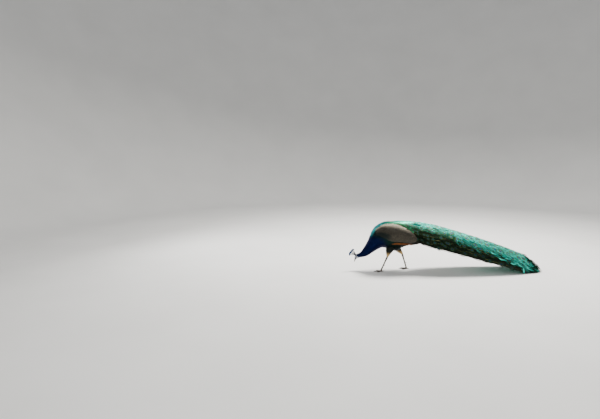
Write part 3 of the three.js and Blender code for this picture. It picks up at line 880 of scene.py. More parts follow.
def looseVanes(root, ahead, across, form, length, width, thick):
    # vanes set by their own directions: point = root + ahead length u + across width / 2 w + up thick h
    def column(value):
        return np.broadcast_to(value, (len(root),))[:, None, None]

    u, w, h = (form[key][None, :, None] for key in ("u", "w", "h"))
    across = unit(across - ahead * (across * ahead).sum(-1, keepdims=True))
    up = np.cross(ahead, across)
    point = root[:, None] + ahead[:, None] * column(length) * u
    point = point + across[:, None] * (column(width) / 2 * w) + up[:, None] * (column(thick) * h)
    count = len(root)
    out = np.broadcast_to(w[..., 0] / 2 + 0.5, (count, len(form["u"])))
    vane = np.stack([(column(length) * u / 100)[..., 0], out], -1)
    cell = np.stack([(np.arange(count) % 60) / 60, (np.arange(count) // 60) / 60], -1) + 0.004
    bake = cell[:, None] + 0.003 * np.stack([form["u"], form["w"]], -1)
    return part(point.reshape(-1, 3), manyFaces(form, count), None, vane.reshape(-1, 2), bake.reshape(-1, 2))


eyeFinish, eyeTree, eyeShader = newMaterial(
    "eyeFinish", {"Roughness": 0.1, "Specular IOR Level": 0.1, "Coat Weight": 0.2, "Coat Roughness": 0.02})
fibres = rangeNode(eyeTree, noiseNode(eyeTree, 1500.0), 0.35, 0.65, 0.75, 1.2)
finishColour(eyeTree, eyeShader, ownColour(eyeTree), fibres)
iris = {"pupil": 2.2, "end": 4.4, "inner": tone("4a2612"), "outer": tone("1e0f08"), "black": tone("050403"),
        "edge": tone("0b0705")}


def makeEye(name, side):
    # a ball about the side axis with a slight cornea: radius = R (1 + 0.035 e^-(p / 0.6)^2)
    polar, turn = np.meshgrid(np.linspace(0.03, np.pi - 0.03, 44), fullTurn(40), indexing="ij")
    out = np.array([0.0, side, 0.0])
    around = eyeBack * np.cos(turn)[..., None] + eyeUp * np.sin(turn)[..., None]
    radius = (eye["radius"] * (1 + 0.035 * bell(polar, 0, 0.6)))[..., None]
    ahead = out * np.cos(polar)[..., None] + around * np.sin(polar)[..., None]
    grid = eyeMiddle + out * eye["out"] + radius * ahead
    reach = (eye["radius"] * np.sin(polar))[..., None]
    front = (np.cos(polar) > 0)[..., None]
    colour = mix(iris["inner"], iris["outer"], smooth(reach, 3.0, iris["end"]))
    colour = np.where((reach < iris["pupil"]) & front, iris["black"], colour)
    colour = mix(colour, iris["edge"], smooth(reach, iris["end"] - 0.2, iris["end"] + 0.3))
    makePiece("eye_ball_" + name, tube(grid, colour), eyeFinish, "eye", ["eye_" + name])


for name, side in sides.items():
    makeEye(name, side)


bill = {"length": 38, "upper": 8.4, "lower": 5.4, "half": 6.6, "hook": 3.2, "lowerShare": 0.86,
        "parting": 0.5}
nostril = {"at": 0.27, "turn": 62, "long": 0.055, "tall": 9, "colour": tone("0a0908")}


def makeBill(name, sign, depth, share):
    # Half an ellipse drawn to a point: taper = sqrt(1 - s) (1 - s / 4), lifted by depth taper cos t
    # from the gape line, and drooped by hook s^2 towards the tip.
    _, centre, tangent, normal = bodyFrame(np.array(0.0))
    s, t = np.meshgrid(np.linspace(-0.14, 1, 64), fullTurn(44), indexing="ij")
    taper = np.sqrt(np.maximum(1 - s, 0.004)) * (1 - 0.25 * s)
    crown = np.where(np.cos(t) > 0, np.cos(t), 0.12 * np.cos(t))
    lift = sign * (depth * (taper * crown + 0.07) + bill["parting"] / 2)
    droop = bill["hook"] * np.maximum(s, 0) ** 2 * (1 if sign > 0 else 0.4)
    degrees = np.degrees(np.abs(np.mod(t + np.pi, 2 * np.pi) - np.pi))
    pit = bell(s, nostril["at"], nostril["long"]) * bell(degrees, nostril["turn"], nostril["tall"])
    pit = pit if sign > 0 else 0 * pit
    ridge = 0.35 * bell(degrees, 0, 14) * smooth(-s, -0.95, -0.5)
    cere = 0.5 * smooth(-s, -0.4, -0.28)
    wide = bill["half"] * share * taper * np.sin(t) * (1 - 0.3 * pit + 0.06 * cere)
    lift = lift + sign * (ridge + 0.4 * cere * np.cos(t) - 0.6 * pit)
    grid = centre - tangent * (bill["length"] * share * s)[..., None] + normal * (lift - droop)[..., None]
    grid[..., 1] += wide
    edge = bell(degrees, 90, 16)
    pale = 0.75 * edge * smooth(s, 0, 0.3) + 0.5 * smooth(s, 0.55, 1)
    colour = mix(tones["horn"], tones["hornPale"], pale[..., None])
    colour = mix(colour, tones["horn"] * 0.55, (cere[..., None] * 1.2))
    colour = mix(colour, nostril["colour"], np.clip(pit * 1.4, 0, 1)[..., None])
    makePiece("bill_" + name + "_horn", tube(grid, colour), hornFinish, "bill_horn", ["bill_" + name])


def hornMaterial(name, values, grain=220.0, stretch=(1.0, 1.0, 0.25), shade=0.2):
    # colour from the mesh with growth streaks, and a fine bump from the same noise
    material, tree, shader = newMaterial(name, values)
    place = scaledPlace(tree, tree.nodes.new("ShaderNodeTexCoord").outputs["Object"], stretch)
    streak = noiseNode(tree, grain, 4.0, place)
    finishColour(tree, shader, ownColour(tree), rangeNode(tree, streak, 0.3, 0.7, 1 - shade, 1 + shade))
    finishBump(tree, shader, streak, 0.3, 0.0004)
    return material


hornFinish = hornMaterial("hornFinish", {"Roughness": 0.36, "Coat Weight": 0.2, "Coat Roughness": 0.25})
makeBill("upper", 1, bill["upper"], 1.0)
makeBill("lower", -1, bill["lower"], bill["lowerShare"])


# Crest: its share of the body line, lean and spread in degrees, and how far its stems start in the skin,
# along it and to the sides; fan: barbs at the tip of each stem.
crest = {"count": 24, "at": 0.17, "length": 53.5, "lean": 147, "spread": 56, "sway": 0.09, "stem": 1.3,
         "sunk": 2, "rootLong": 9, "rootWide": 22, "fan": 9, "fanReach": 17.5, "fanAngle": 44, "barb": 3.3}
crestTones = {"stem": tone("1c2430"), "middle": tone("06215c"), "outer": tone("083c66"),
              "tip": tone("083f68")}
crestFinish = plumeMaterial(
    "crestFinish", {**gloss, "Metallic": 0.15, "Roughness": 0.7, "Specular IOR Level": 0.1})


def makeCrest():
    # bare stems in a fan that stands in the bird's middle plane, each with a small fan of barbs at its tip
    rng = np.random.default_rng(7)
    row, centre, tangent, normal = bodyFrame(np.array(crest["at"]))
    count = crest["count"]
    share = np.linspace(-0.5, 0.5, count)
    angle = np.radians(crest["lean"] + share * crest["spread"])
    sway = rng.uniform(-1, 1, count) * crest["sway"]
    ahead = unit(np.stack([np.cos(angle), sway, np.sin(angle)], -1))
    side = np.tile([0.0, 1.0, 0.0], (count, 1))
    length = crest["length"] * rng.uniform(0.93, 1.03, count)
    root = centre + normal * (row[2] - crest["sunk"]) - tangent * share[:, None] * crest["rootLong"]
    root = root + side * sway[:, None] * crest["rootWide"]
    stems = looseVanes(root, ahead, side, forms["long"], length * 1.04, crest["stem"], crest["stem"] / 2)
    stems["colour"] = np.broadcast_to(crestTones["stem"], stems["points"].shape)
    parts = [stems]
    fanTurns = np.linspace(-1, 1, crest["fan"]) * np.radians(crest["fanAngle"])
    for turn in fanTurns:
        lean = sway + 0.04 * np.cos(9 * turn)
        along = unit(np.stack([np.cos(angle + turn), lean, np.sin(angle + turn)], -1))
        across = np.cross(along, side)
        reach = crest["fanReach"] * (1 - 0.22 * abs(turn))
        fan = looseVanes(root + ahead * length[:, None] * 0.97, along, across, forms["scale"], reach,
                         crest["barb"], 0.45)
        core = np.tile(mix(crestTones["middle"], crestTones["outer"], abs(turn) / fanTurns[-1]), (count, 1))
        paint(fan, forms["scale"], core, core[:1] * 0.5, 0.5, 0.15, 3, crestTones["tip"])
        parts.append(fan)
    makePiece("crest_fans", joined(parts), crestFinish, "blue_plumage", ["crest"])


makeCrest()
print("eyes, bill and crest made")


# Wing: coverts in rows, with their length at the front and at the back, where endRun and endLength shorten
# them. Secondaries: a row of roots from one place to another, inside the wing's lower edge by degrees.
wing = {"baseDepth": 5, "from": 0.01, "to": 0.93, "length": (15, 46), "wide": 0.66, "overlap": 0.42,
        "endRun": 430, "endLength": 14}
secondary = {"count": 9, "from": 0.36, "to": 0.62, "inside": (1, 9), "length": (150, 148), "wide": 17,
             "turn": (0.02, -0.02), "colour": tone("11241f"), "rim": tone("0a1413")}
barredFinish, barTree, barShader = newMaterial(
    "barredFinish", {"Roughness": 0.74, "Specular IOR Level": 0.25})
barAlong, barOut, _ = vaneNode(barTree)
# wavy bars: sin(2 pi (16 along - 0.5 out^2 + noise)), along in decimetres
warp = mathNode(barTree, "MULTIPLY", noiseNode(barTree, 70.0, 2.0), 1.7)
bow = mathNode(barTree, "MULTIPLY", mathNode(barTree, "MULTIPLY", barOut, barOut), -0.5)
phase = mathNode(barTree, "ADD", mathNode(barTree, "MULTIPLY_ADD", barAlong, 16.0, warp), bow)
barWave = mathNode(barTree, "SINE", mathNode(barTree, "MULTIPLY", phase, 2 * np.pi))
barShade = rangeNode(barTree, barWave, 0.05, 0.5, 0.2, 1.0)
barColour = mixNode(barTree, "MULTIPLY", 1.0, ownColour(barTree), barShade)
barLight = rangeNode(barTree, noiseNode(barTree, 35.0), 0.3, 0.7, 0.82, 1.15)
finishColour(barTree, barShader, barColour, barLight)
finishBump(barTree, barShader, barWave, 0.15, 0.0004)


def makeSecondaries(name, side):
    # dark secondaries side by side, below the coverts
    count = secondary["count"]
    share = np.linspace(0, 1, count)
    a = mix(secondary["from"], secondary["to"], share)
    b = side * (wingAt(a)[:, 6] - mix(*secondary["inside"], share))
    vanes = layVanes(wingSurface, a, b, forms["long"], mix(*secondary["length"], share), secondary["wide"],
                     side * mix(*secondary["turn"], share), low=-6.0, high=-1.5 - 3 * share, thick=0.6,
                     camber=1.2, rise=1.0)
    core = np.tile(secondary["colour"], (count, 1))
    paint(vanes, forms["long"], core, secondary["rim"], 0.5, 0.1, 6)
    makePiece("wing_secondaries_" + name, vanes, darkFinish, "dark_plumage")


def makeWing(name, side):
    # a base under barred coverts in rows, which have a painted highlight on top, painted shade lower down
    # and darken back, and the secondaries below them
    a, share = np.meshgrid(np.linspace(0.01, 0.99, 44), np.linspace(0, 1, 26), indexing="ij")
    row = wingAt(a)
    b = side * mix(row[..., 5] + 3, row[..., 6] - 5, share)
    skin = wing["baseDepth"] + wingDip(a)
    fullness = mix(0.45, 1, np.sqrt(np.sin(np.pi * share)))
    inner = np.maximum(row[..., 7] * fullness, skin + 1.5)
    # painted shade: the base is darkened where it shows between the coverts
    colour = np.broadcast_to(tones["cream"] * 0.5, (*a.shape, 3))
    base = shell(wingSurface(a, b, skin), wingSurface(a, b, inner), colour)
    base["vane"] = base["vane"] * [4.2, 1]
    makePiece("wing_base_" + name, base, barredFinish, "barred_plumage", ["wing_" + name])

    def edges(a):
        row = wingAt(np.array(a))
        return side * (row[5] + 0.5), side * (row[6] - 2)

    def lengthAt(a):
        return mix(*wing["length"], smooth(a, 0.05, 0.85))

    def pitch(a):
        return lengthAt(a) * wing["overlap"], lengthAt(a) * wing["wide"] * 0.7

    a, b = rowsOver(wingSurface, wing["from"], wing["to"], edges, pitch, 30 + side)
    rng = np.random.default_rng(40 + side)
    length = lengthAt(a) * rng.uniform(0.92, 1.1, len(a))
    length = np.minimum(length, (1.0 - a) * wing["endRun"] + wing["endLength"])
    turn = rng.normal(0, 0.07, len(a)) + side * 0.05
    high = rng.uniform(0.2, 1.9, len(a)) - wingDip(a)
    vanes = layVanes(wingSurface, a, b, forms["round"], length, length * wing["wide"], turn,
                     low=-4.2 - wingDip(a), high=high, thick=0.45, camber=0.05 * length * wing["wide"],
                     patch=0.02, unwrap=(0.94, 0.03, side * 0.006, 0.03))
    row = wingAt(a)
    down = (np.abs(b) - row[:, 5]) / (row[:, 6] - row[:, 5])
    # painted light: lightest along the wing's top as a painted highlight, dark lower down as painted shade;
    # also darker towards the back
    light = mix(1.5, 0.22, smooth(a, 0.6, 0.76))
    core = tones["cream"] * mix(light, 0.1, smooth(down, 0.04, 0.36))[:, None]
    core = mix(core, tones["wingEnd"], (0.6 * smooth(a, 0.6, 0.95))[:, None])
    front = smooth(down, 0.58, 0.76) * smooth(-wingSurface(a, b)[:, 0], 50, 110)
    core = mix(core, tones["blackGreen"], front[:, None])
    paint(vanes, forms["round"], core, core * 0.7, 0.4, 0.14, 5)
    makePiece("wing_coverts_" + name, vanes, barredFinish, "barred_plumage")
    makeSecondaries(name, side)


# Chestnut flight feathers: a fan of blades edge to edge below the wing. Pairs hold the values of the first
# and the last blade; ends: the share of its length that each blade has.
primary = {"from": -52, "to": 172, "z": 284, "rise": 6, "droop": 4, "y": 97, "bulge": 3,
           "roots": (0.02, 0.16), "down": (7, -8), "length": (176, 208), "wide": 11.5,
           "turn": (-0.045, 0.035), "ends": [0.97, 1.0, 1.0, 1.0, 0.99, 0.97, 0.93]}


def makePrimaries(name, side):
    # each blade lies a little lower than the last and out over it, on a face that bulges by bulge (1 - t^2)
    def surface(a, b, depth=0.0):
        # a runs back along the blade, b in millimetres down it
        x = mix(primary["from"], primary["to"], a)
        z = primary["z"] + primary["rise"] * (1 - 2 * a).clip(0) - primary["droop"] * (2 * a - 1).clip(0)
        y = side * (primary["y"] + primary["bulge"] * (1 - (2 * a - 1) ** 2) + 0.5 - depth)
        return np.stack([x + 0 * b, y + 0 * b, z - side * b], -1)

    count = len(primary["ends"])
    share = np.linspace(0, 1, count)
    length = mix(*primary["length"], share) * np.array(primary["ends"])
    a, b = mix(*primary["roots"], share), side * mix(*primary["down"], share)
    vanes = layVanes(surface, a, b, forms["long"], length, primary["wide"],
                     side * mix(*primary["turn"], share), low=-4 + 3.6 * share, high=-2.4 + 3.6 * share,
                     thick=0.5, camber=1.1, rise=1.0)
    core = np.tile(tones["chestnut"], (count, 1))
    paint(vanes, forms["long"], core, tones["chestnut"] * 0.35, 0.8, 0.18, 8, tones["chestnutTip"])
    makePiece("primary_vanes_" + name, vanes, mattFinish, "chestnut_plumage", ["primaries_" + name])


for name, side in sides.items():
    makeWing(name, side)
    makePrimaries(name, side)
print("wings made")


# feathers of the thighs; pairs hold the values at the top and at the hock, buried: none deep in the trunk
thighCoat = {"between": (10, 4.5), "beside": (8, 3.6), "length": (30, 11), "wide": 0.5, "low": (-3, -1),
             "buried": 0.74}


def thighPitch(a):
    # closer together from the hip to the hock
    return mix(*thighCoat["between"], a), mix(*thighCoat["beside"], a)


for name, surface in thighSurfaces.items():
    a, b = rowsOver(surface, 0.05, 0.97, lambda a: (0.0, 1.0), thighPitch, 60)
    point = surface(a, b)
    row = bodyAt(np.interp(point[:, 0], bodyX, bodyShares))
    inTrunk = ((point[:, 2] - row[:, 1]) / row[:, 3]) ** 2 + (point[:, 1] / row[:, 4]) ** 2
    keep = inTrunk > thighCoat["buried"]
    a, b, point = a[keep], b[keep], point[keep]
    rng = np.random.default_rng(61)
    length = mix(*thighCoat["length"], a) * rng.uniform(0.9, 1.15, len(a))
    turn = rng.normal(0, 0.1, len(a))
    high = rng.uniform(-0.3, 0.7, len(a)) - thighDip(a + 0.12)
    vanes = layVanes(surface, a, b, forms["round"], length, length * thighCoat["wide"], turn,
                     low=mix(*thighCoat["low"], a) - thighDip(a), high=high, thick=0.25, camber=0.2)
    core = thighTone(point)
    paint(vanes, forms["round"], core, mix(core, core * 0.5, 0.5), 0.7, 0.14, 62)
    makePiece("coat_thigh_" + name, vanes, mattFinish, "buff_plumage")
print("thighs made")

# soft feathers behind the legs and below the root of the tail
vent = {"points": [(30, 0, 284), (120, 0, 298), (215, 0, 297), (335, 0, 303)], "radii": [66, 47, 36, 8],
        "flat": 1.3, "length": (34, 46), "wide": 0.52, "depth": 6, "pitch": (13, 11)}


def makeVent():
    # a dark base with loose feathers that stand off it by up to 5
    surface = limbSurface(vent["points"], vent["radii"], vent["flat"])
    a, b = limbGrid(0.02, 0.985, 44, 48)
    dark = np.broadcast_to(tones["nearBlack"], (*a.shape, 3))
    base = tube(surface(a, b, vent["depth"]), dark, (0.02, 0.3, 0.02, 0.98))
    a, b = rowsOver(surface, 0.06, 0.95, lambda a: (0.0, 1.0), lambda a: vent["pitch"], 64)
    rng = np.random.default_rng(65)
    length = mix(*vent["length"], a) * rng.uniform(0.8, 1.2, len(a))
    turn = rng.normal(0, 0.16, len(a))
    vanes = layVanes(surface, a, b, forms["round"], length, length * vent["wide"], turn,
                     low=-vent["depth"] + 0.5, high=rng.uniform(-1, 5, len(a)), thick=0.3, camber=0.5,
                     unwrap=(0.64, 0.34, 0.96, 0.02))
    core = mix(tones["nearBlack"], tones["ventBrown"], rng.uniform(0.2, 0.7, len(a))[:, None])
    paint(vanes, forms["round"], core, core * 0.6, 0.6, 0.16, 66)
    makePiece("coat_vent", joined([base, vanes]), mattFinish, "dark_plumage")


makeVent()


# The train's body, with lobes at its end; run: millimetres along the ridge per unit of a. Then the scales on
# its first part, and the long feathers, whose pairs hold the values near the root and near the end. An
# eyespot's parts are shares of its size, and bends are shares of a barb's length.
train = {"depth": 11, "hem": 14, "hemShare": 0.3, "lobes": 7, "lobeDepth": 44, "lobeFrom": 0.78, "short": 36,
         "run": 1560}
scales = {"from": 0.0, "to": 0.2, "length": (22, 34), "wide": 0.86, "overlap": 0.45}
plume = {"first": 0.165, "last": 0.91, "side": 86, "pitch": (44, 74), "scatter": 11, "eyeSize": (20, 43),
         "barb": (28, 58), "reach": (120, 240), "barbStep": 3.1, "barbWide": (1.7, 2.6), "slant": 28,
         "deep": 9, "shaftWide": 2.4, "spotBack": 0.58, "spotLong": 1.16, "barbBack": 0.3, "barbBend": 0.3,
         "ringBarbs": 23, "ringOpen": 140, "ringRadius": 0.36, "ringLength": 0.66, "ringTurn": 0.86,
         "ringBend": 0.18, "cells": 14, "cellMargin": 0.004, "cellSize": 0.062}


def highlightEdge(a):
    # degrees from the ridge where its painted highlight ends: 37, and 60 near the train's end
    return 37 + 23 * smooth(a, 0.5, 0.88)


def trainTone(a, b, shift, bronze):
    # Painted light: bright green-blue along the ridge as a painted highlight, with less bronze there, and
    # deep green below its edge, darker down the sides as painted shade, and dark at the end; shift moves the
    # edge, and bronze is the share of bronze.
    edge = highlightEdge(a) + shift
    ridge = smooth(-np.abs(b), -edge - 13, -edge + 13)
    highlightColour = mix(tones["trainLitTeal"], tones["trainHighlight"], (0.3 * bell(b, 0, 34))[..., None])
    colour = mix(tones["trainGreen"], highlightColour, ridge[..., None])
    colour = mix(colour, tones["trainBronze"], (bronze * (1 - 0.8 * ridge))[..., None])
    # painted shade down the sides; the second term darkens the end of the train
    dark = 0.84 * smooth(np.abs(b), 38, 70) + 0.7 * smooth(a, 0.87, 0.94)
    return colour * (1 - np.minimum(dark, 0.88))[..., None]


def makeTrainBase():
    # the body of the train below its loose barbs, from the rump to a lobed end on the ground
    a, b = np.meshgrid(np.linspace(0.002, 0.999, 120), np.linspace(-88, 88, 60), indexing="ij")
    lobe = 1 - np.abs(np.cos(np.radians(b) * train["lobes"] / 2)) ** 0.6
    _, along, _, _ = frameOn(trainSurface, a, b)
    shorter = train["lobeDepth"] * lobe + train["short"]
    a = a - smooth(a, train["lobeFrom"], 1) * shorter * perMillimetre(along)
    row = trainAt(a)
    hem = np.clip((90 - np.abs(b)) / train["hem"], train["hemShare"], 1)
    outerDepth = np.minimum(train["depth"], row[..., 4] * 0.45) * smooth(hem, 0.1, 1.0)
    innerDepth = np.maximum(row[..., 4] * hem, outerDepth + 2)
    outer, inner = trainSurface(a, b, outerDepth), trainSurface(a, b, innerDepth)
    # painted shade: darker than the barbs over it, and darker still down the sides
    colour = trainTone(a, b, 0 * a, 0.3 + 0 * a) * mix(0.4, 0.8, bell(b, 0, 36))[..., None]
    makePiece("train_base", shell(outer, inner, colour), streakFinish, "train_plumage",
              [f"train_{length}_{sector}" for length in ("rump", "upper", "middle", "end")
               for sector in ("left", "back", "right")])


streakFinish, streakTree, streakShader = newMaterial(
    "streakFinish", {"Roughness": 0.6, "Specular IOR Level": 0.2})
streakMap = streakTree.nodes.new("ShaderNodeUVMap")
streakMap.uv_map = "vane"
streakPlace = scaledPlace(streakTree, streakMap.outputs[0], (14.0, 170.0, 1.0))
streaks = noiseNode(streakTree, 1.0, 3.0, streakPlace)
streakLight = rangeNode(streakTree, streaks, 0.3, 0.7, 0.45, 1.5)
finishColour(streakTree, streakShader, ownColour(streakTree), streakLight)
finishBump(streakTree, streakShader, streaks, 0.6, 0.003)


def discForm(rings, sectors):
    # a flat closed disc: its dome rises by 1 - r^2, and it is flat below
    r, t = np.meshgrid(np.linspace(0, 1, rings + 1)[1:], fullTurn(sectors), indexing="ij")
    u = np.concatenate([[0.5], (0.5 + 0.5 * r * np.cos(t)).ravel(), [0.5]])
    w = np.concatenate([[0.0], (r * np.sin(t)).ravel(), [0.0]])
    h = np.concatenate([[1.0], (1 - r**2).ravel(), [-0.6]])
    ring = 1 + np.arange(rings * sectors).reshape(rings, sectors)
    edge = np.hypot(2 * u - 1, w)
    return {"u": u, "w": w, "h": h, "edge": edge, "faces": closedFaces(ring, 0, len(u) - 1)}


forms["disc"] = discForm(2, 14)
eyespotFinish, spotTree, spotShader = newMaterial(
    "eyespotFinish", {**gloss, "Metallic": 0.45, "Roughness": 0.5})
spotAlong, _, spotAcross = vaneNode(spotTree)
spotX = mathNode(spotTree, "MULTIPLY_ADD", spotAlong, 2.0, -1.0)
spotY = mathNode(spotTree, "MULTIPLY_ADD", spotAcross, 2.0, -1.0)
squareX, squareY = (mathNode(spotTree, "MULTIPLY", place, place) for place in (spotX, spotY))
spotReach = mathNode(spotTree, "SQRT", mathNode(spotTree, "ADD", squareX, squareY))
# a notch on the tip's side of the dark centre: the reach grows by 0.3 x e^-(5 y)^2 for x above 0
notchSide = mathNode(spotTree, "EXPONENT", mathNode(spotTree, "MULTIPLY", squareY, -25.0))
notch = mathNode(spotTree, "MULTIPLY", mathNode(spotTree, "MAXIMUM", spotX, 0.0), notchSide)
spotReach = mathNode(spotTree, "MULTIPLY_ADD", notch, 0.3, spotReach)
rings = spotTree.nodes.new("ShaderNodeValToRGB")
ringStops = [(0.0, "12084a"), (0.29, "160b5c"), (0.34, "0d7f9c"), (0.45, "119c98"), (0.5, "5a3c1e"),
             (0.68, "684822"), (0.72, "76703a"), (0.77, "2c7038"), (0.86, "16784e"), (0.92, "4c5c34"),
             (1.0, "128066")]
while len(rings.color_ramp.elements) < len(ringStops):
    rings.color_ramp.elements.new(0.5)
for element, (at, code) in zip(rings.color_ramp.elements, ringStops):
    element.position = at
    element.color = (*tone(code), 1)
spotTree.links.new(spotReach, rings.inputs[0])
spotColour = mixNode(spotTree, "MULTIPLY", 1.0, rings.outputs[0], ownColour(spotTree))
spotLight = rangeNode(spotTree, noiseNode(spotTree, 300.0), 0.3, 0.7, 0.85, 1.15)
finishColour(spotTree, spotShader, spotColour, spotLight)
finishBump(spotTree, spotShader, spotReach, 0.2, 0.002)


def sizeAt(pair, a):
    # from the first value near the root of the train to the second from 0.72 on
    return mix(pair[0], pair[1], smooth(a, 0.1, 0.72))


def onTrain(a, b, turn, forward, sideways):
    # the place a distance forward and sideways from a, b, seen along a feather turned by turn
    _, along, around, _ = frameOn(trainSurface, a, b)
    perA, perB = perMillimetre(along), perMillimetre(around)
    placeA = a + (forward * np.cos(turn) - sideways * np.sin(turn)) * perA
    placeB = b + (forward * np.sin(turn) + sideways * np.cos(turn)) * perB
    return placeA, placeB


def makeTrainScales():
    # round scales over the rump, with bronze rims; along the middle they take on the ridge's painted
    # highlight, and they darken down the sides as painted shade
    def lengthAt(a):
        return mix(*scales["length"], np.clip(a / scales["to"], 0, 1))

    def pitch(a):
        return lengthAt(a) * scales["overlap"], lengthAt(a) * scales["wide"] * 0.66

    a, b = rowsOver(trainSurface, scales["from"], scales["to"], lambda a: (-88.0, 88.0), pitch, 71, 0.07)
    rng = np.random.default_rng(72)
    length = lengthAt(a) * rng.uniform(0.92, 1.1, len(a))
    turn = rng.normal(0, 0.05, len(a))
    vanes = layVanes(trainSurface, a, b, forms["round"], length, length * scales["wide"], turn, low=-5.0,
                     high=rng.uniform(0.2, 1.4, len(a)), thick=0.5, camber=1.6)
    core = mix(tones["scaleGreen"], tones["bronze"], rng.uniform(0.04, 0.32, len(a))[:, None])
    core = mix(core, tones["trainLitTeal"], (0.85 * bell(b, 0, 48))[:, None])
    core = core * (1.1 - 0.5 * smooth(np.abs(b), 40, 80))[:, None]
    paint(vanes, forms["round"], core, tones["bronze"] * 0.5, 0.4, 0.14, 73)
    vanes["vane"][:, 0] = np.tile(forms["round"]["u"], len(a))
    makePiece("train_scales", vanes, backFinish, "train_plumage")


def makeEyespots(rng, feathers):
    # a domed disc at each feather's end, with its own cell to bake into, in a square of cells by cells
    a, b, turn, size = (feathers[key] for key in ("a", "b", "turn", "size"))
    count = len(a)
    spotA, spotB = onTrain(a, b, turn, -plume["spotBack"] * size, 0)
    high = 2.2 + 1.2 * rng.uniform(0, 1, count)
    spots = layVanes(trainSurface, spotA, spotB, forms["disc"], size * plume["spotLong"], size, turn,
                     low=1.4, high=high, thick=0.9, camber=1.0)
    spots["vane"] = np.tile(np.stack([forms["disc"]["u"], forms["disc"]["w"] / 2 + 0.5], -1), (count, 1))
    cell = np.stack([np.arange(count) % plume["cells"], np.arange(count) // plume["cells"]], -1)
    cell = cell / plume["cells"] + plume["cellMargin"]
    onCell = cell[:, None] + spots["vane"].reshape(count, -1, 2) * plume["cellSize"]
    spots["bake"] = onCell.reshape(-1, 2)
    # painted light: brighter on the lit ridge and painted shade down the sides; each spot also lighter or
    # darker at random
    shade = (1.55 - 1.3 * smooth(np.abs(b), 30, 76)) * rng.uniform(0.7, 1.1, count)
    spots["colour"] = np.repeat(np.tile(shade[:, None], 3), len(forms["disc"]["u"]), axis=0)
    makePiece("train_eyespots", spots, eyespotFinish, "train_plumage")


def layShafts(feathers):
    # a bare shaft from each feather's root, sunk by deep, to its eyespot
    a, b, turn, reach = (feathers[key] for key in ("a", "b", "turn", "reach"))
    rootA, rootB = onTrain(a, b, turn, -reach, 0)
    shafts = layVanes(trainSurface, rootA, rootB, forms["long"], reach, plume["shaftWide"], turn,
                      low=-plume["deep"], high=1.0, thick=0.8, camber=0.0, rise=1.0)
    core = np.tile(tones["shaft"], (len(a), 1))
    return paint(shafts, forms["long"], core, tones["shaftRim"], 0.4, 0.1, 82)


def makeBarbs(rng, feathers, name, side):
    # loose barbs on one side of every shaft, slanting back; near is 1 at the eyespot and 0 at the root
    reach, size = feathers["reach"], feathers["size"]
    along = np.arange(0, plume["reach"][1], plume["barbStep"])
    i, d = np.meshgrid(np.arange(len(reach)), along, indexing="ij")
    keep = d < reach[i] * 0.97 - 0.1 * size[i]
    i, d = i[keep], d[keep] + rng.uniform(-1, 1, keep.sum())
    barb = {key: value[i] for key, value in feathers.items()}
    placeA, placeB = onTrain(barb["a"], barb["b"], barb["turn"], -d - plume["barbBack"] * barb["size"], 0)
    near = 1 - d / barb["reach"]
    slant = np.radians(plume["slant"] + 9 * near + rng.normal(0, 5, len(i)))
    length = sizeAt(plume["barb"], barb["a"]) * rng.uniform(0.75, 1.12, len(i)) * mix(0.8, 1.0, near)
    wide = sizeAt(plume["barbWide"], barb["a"])
    height = mix(0.6, -plume["deep"], d / barb["reach"])
    high = height + rng.uniform(-0.3, 2.2, len(i))
    barbs = layVanes(trainSurface, placeA, placeB, forms["barb"], length, wide, barb["turn"] + side * slant,
                     low=height, high=high, thick=0.5, camber=0.0, bend=-side * length * plume["barbBend"])
    # painted shade: darker towards the root, under the feather that lies over it; each feather's light is
    # its own random tone
    light = barb["light"] * mix(0.75, 1.15, near)
    core = trainTone(placeA, placeB, barb["shift"], barb["bronze"]) * light[:, None]
    # painted shade: margins and tips darken down the sides of the train
    sideShade = mix(0.2, 1, smooth(-np.abs(placeB), -70, -34))[:, None]
    tip = mix(tones["trainBronze"] * 0.8, core.mean(0), 0.4) * sideShade
    paint(barbs, forms["barb"], core, core.mean(0) * 0.9 * sideShade, 0.12, 0.22, 83 + side, tip)
    makePiece("train_barbs_" + name, barbs, trainFinish, "train_plumage")


def layRing(rng, feathers):
    # barbs that stand round each eyespot, open towards its shaft; f is the angle from the feather's line
    fringe = np.radians(np.linspace(-plume["ringOpen"], plume["ringOpen"], plume["ringBarbs"]))
    i, f = np.meshgrid(np.arange(len(feathers["a"])), fringe, indexing="ij")
    i, f = i.ravel(), f.ravel() + rng.normal(0, 0.06, i.size)
    barb = {key: value[i] for key, value in feathers.items()}
    out = plume["ringRadius"] * barb["size"]
    placeA, placeB = onTrain(barb["a"], barb["b"], barb["turn"], out * np.cos(f), out * np.sin(f))
    length = barb["size"] * plume["ringLength"] * mix(0.75, 1.0, np.cos(f) * 0.5 + 0.5)
    length = length * rng.uniform(0.8, 1.2, len(i))
    wide = sizeAt(plume["barbWide"], barb["a"]) * 1.1
    high = rng.uniform(0.3, 2.4, len(i))
    ring = layVanes(trainSurface, placeA, placeB, forms["barb"], length, wide,
                    barb["turn"] + f * plume["ringTurn"], low=1.0, high=high, thick=0.5, camber=0.0,
                    bend=-np.sign(f) * length * plume["ringBend"])
    core = trainTone(placeA, placeB, barb["shift"], barb["bronze"]) * barb["light"][:, None]
    return paint(ring, forms["barb"], core, core * 0.8, 0.1, 0.2, 86)


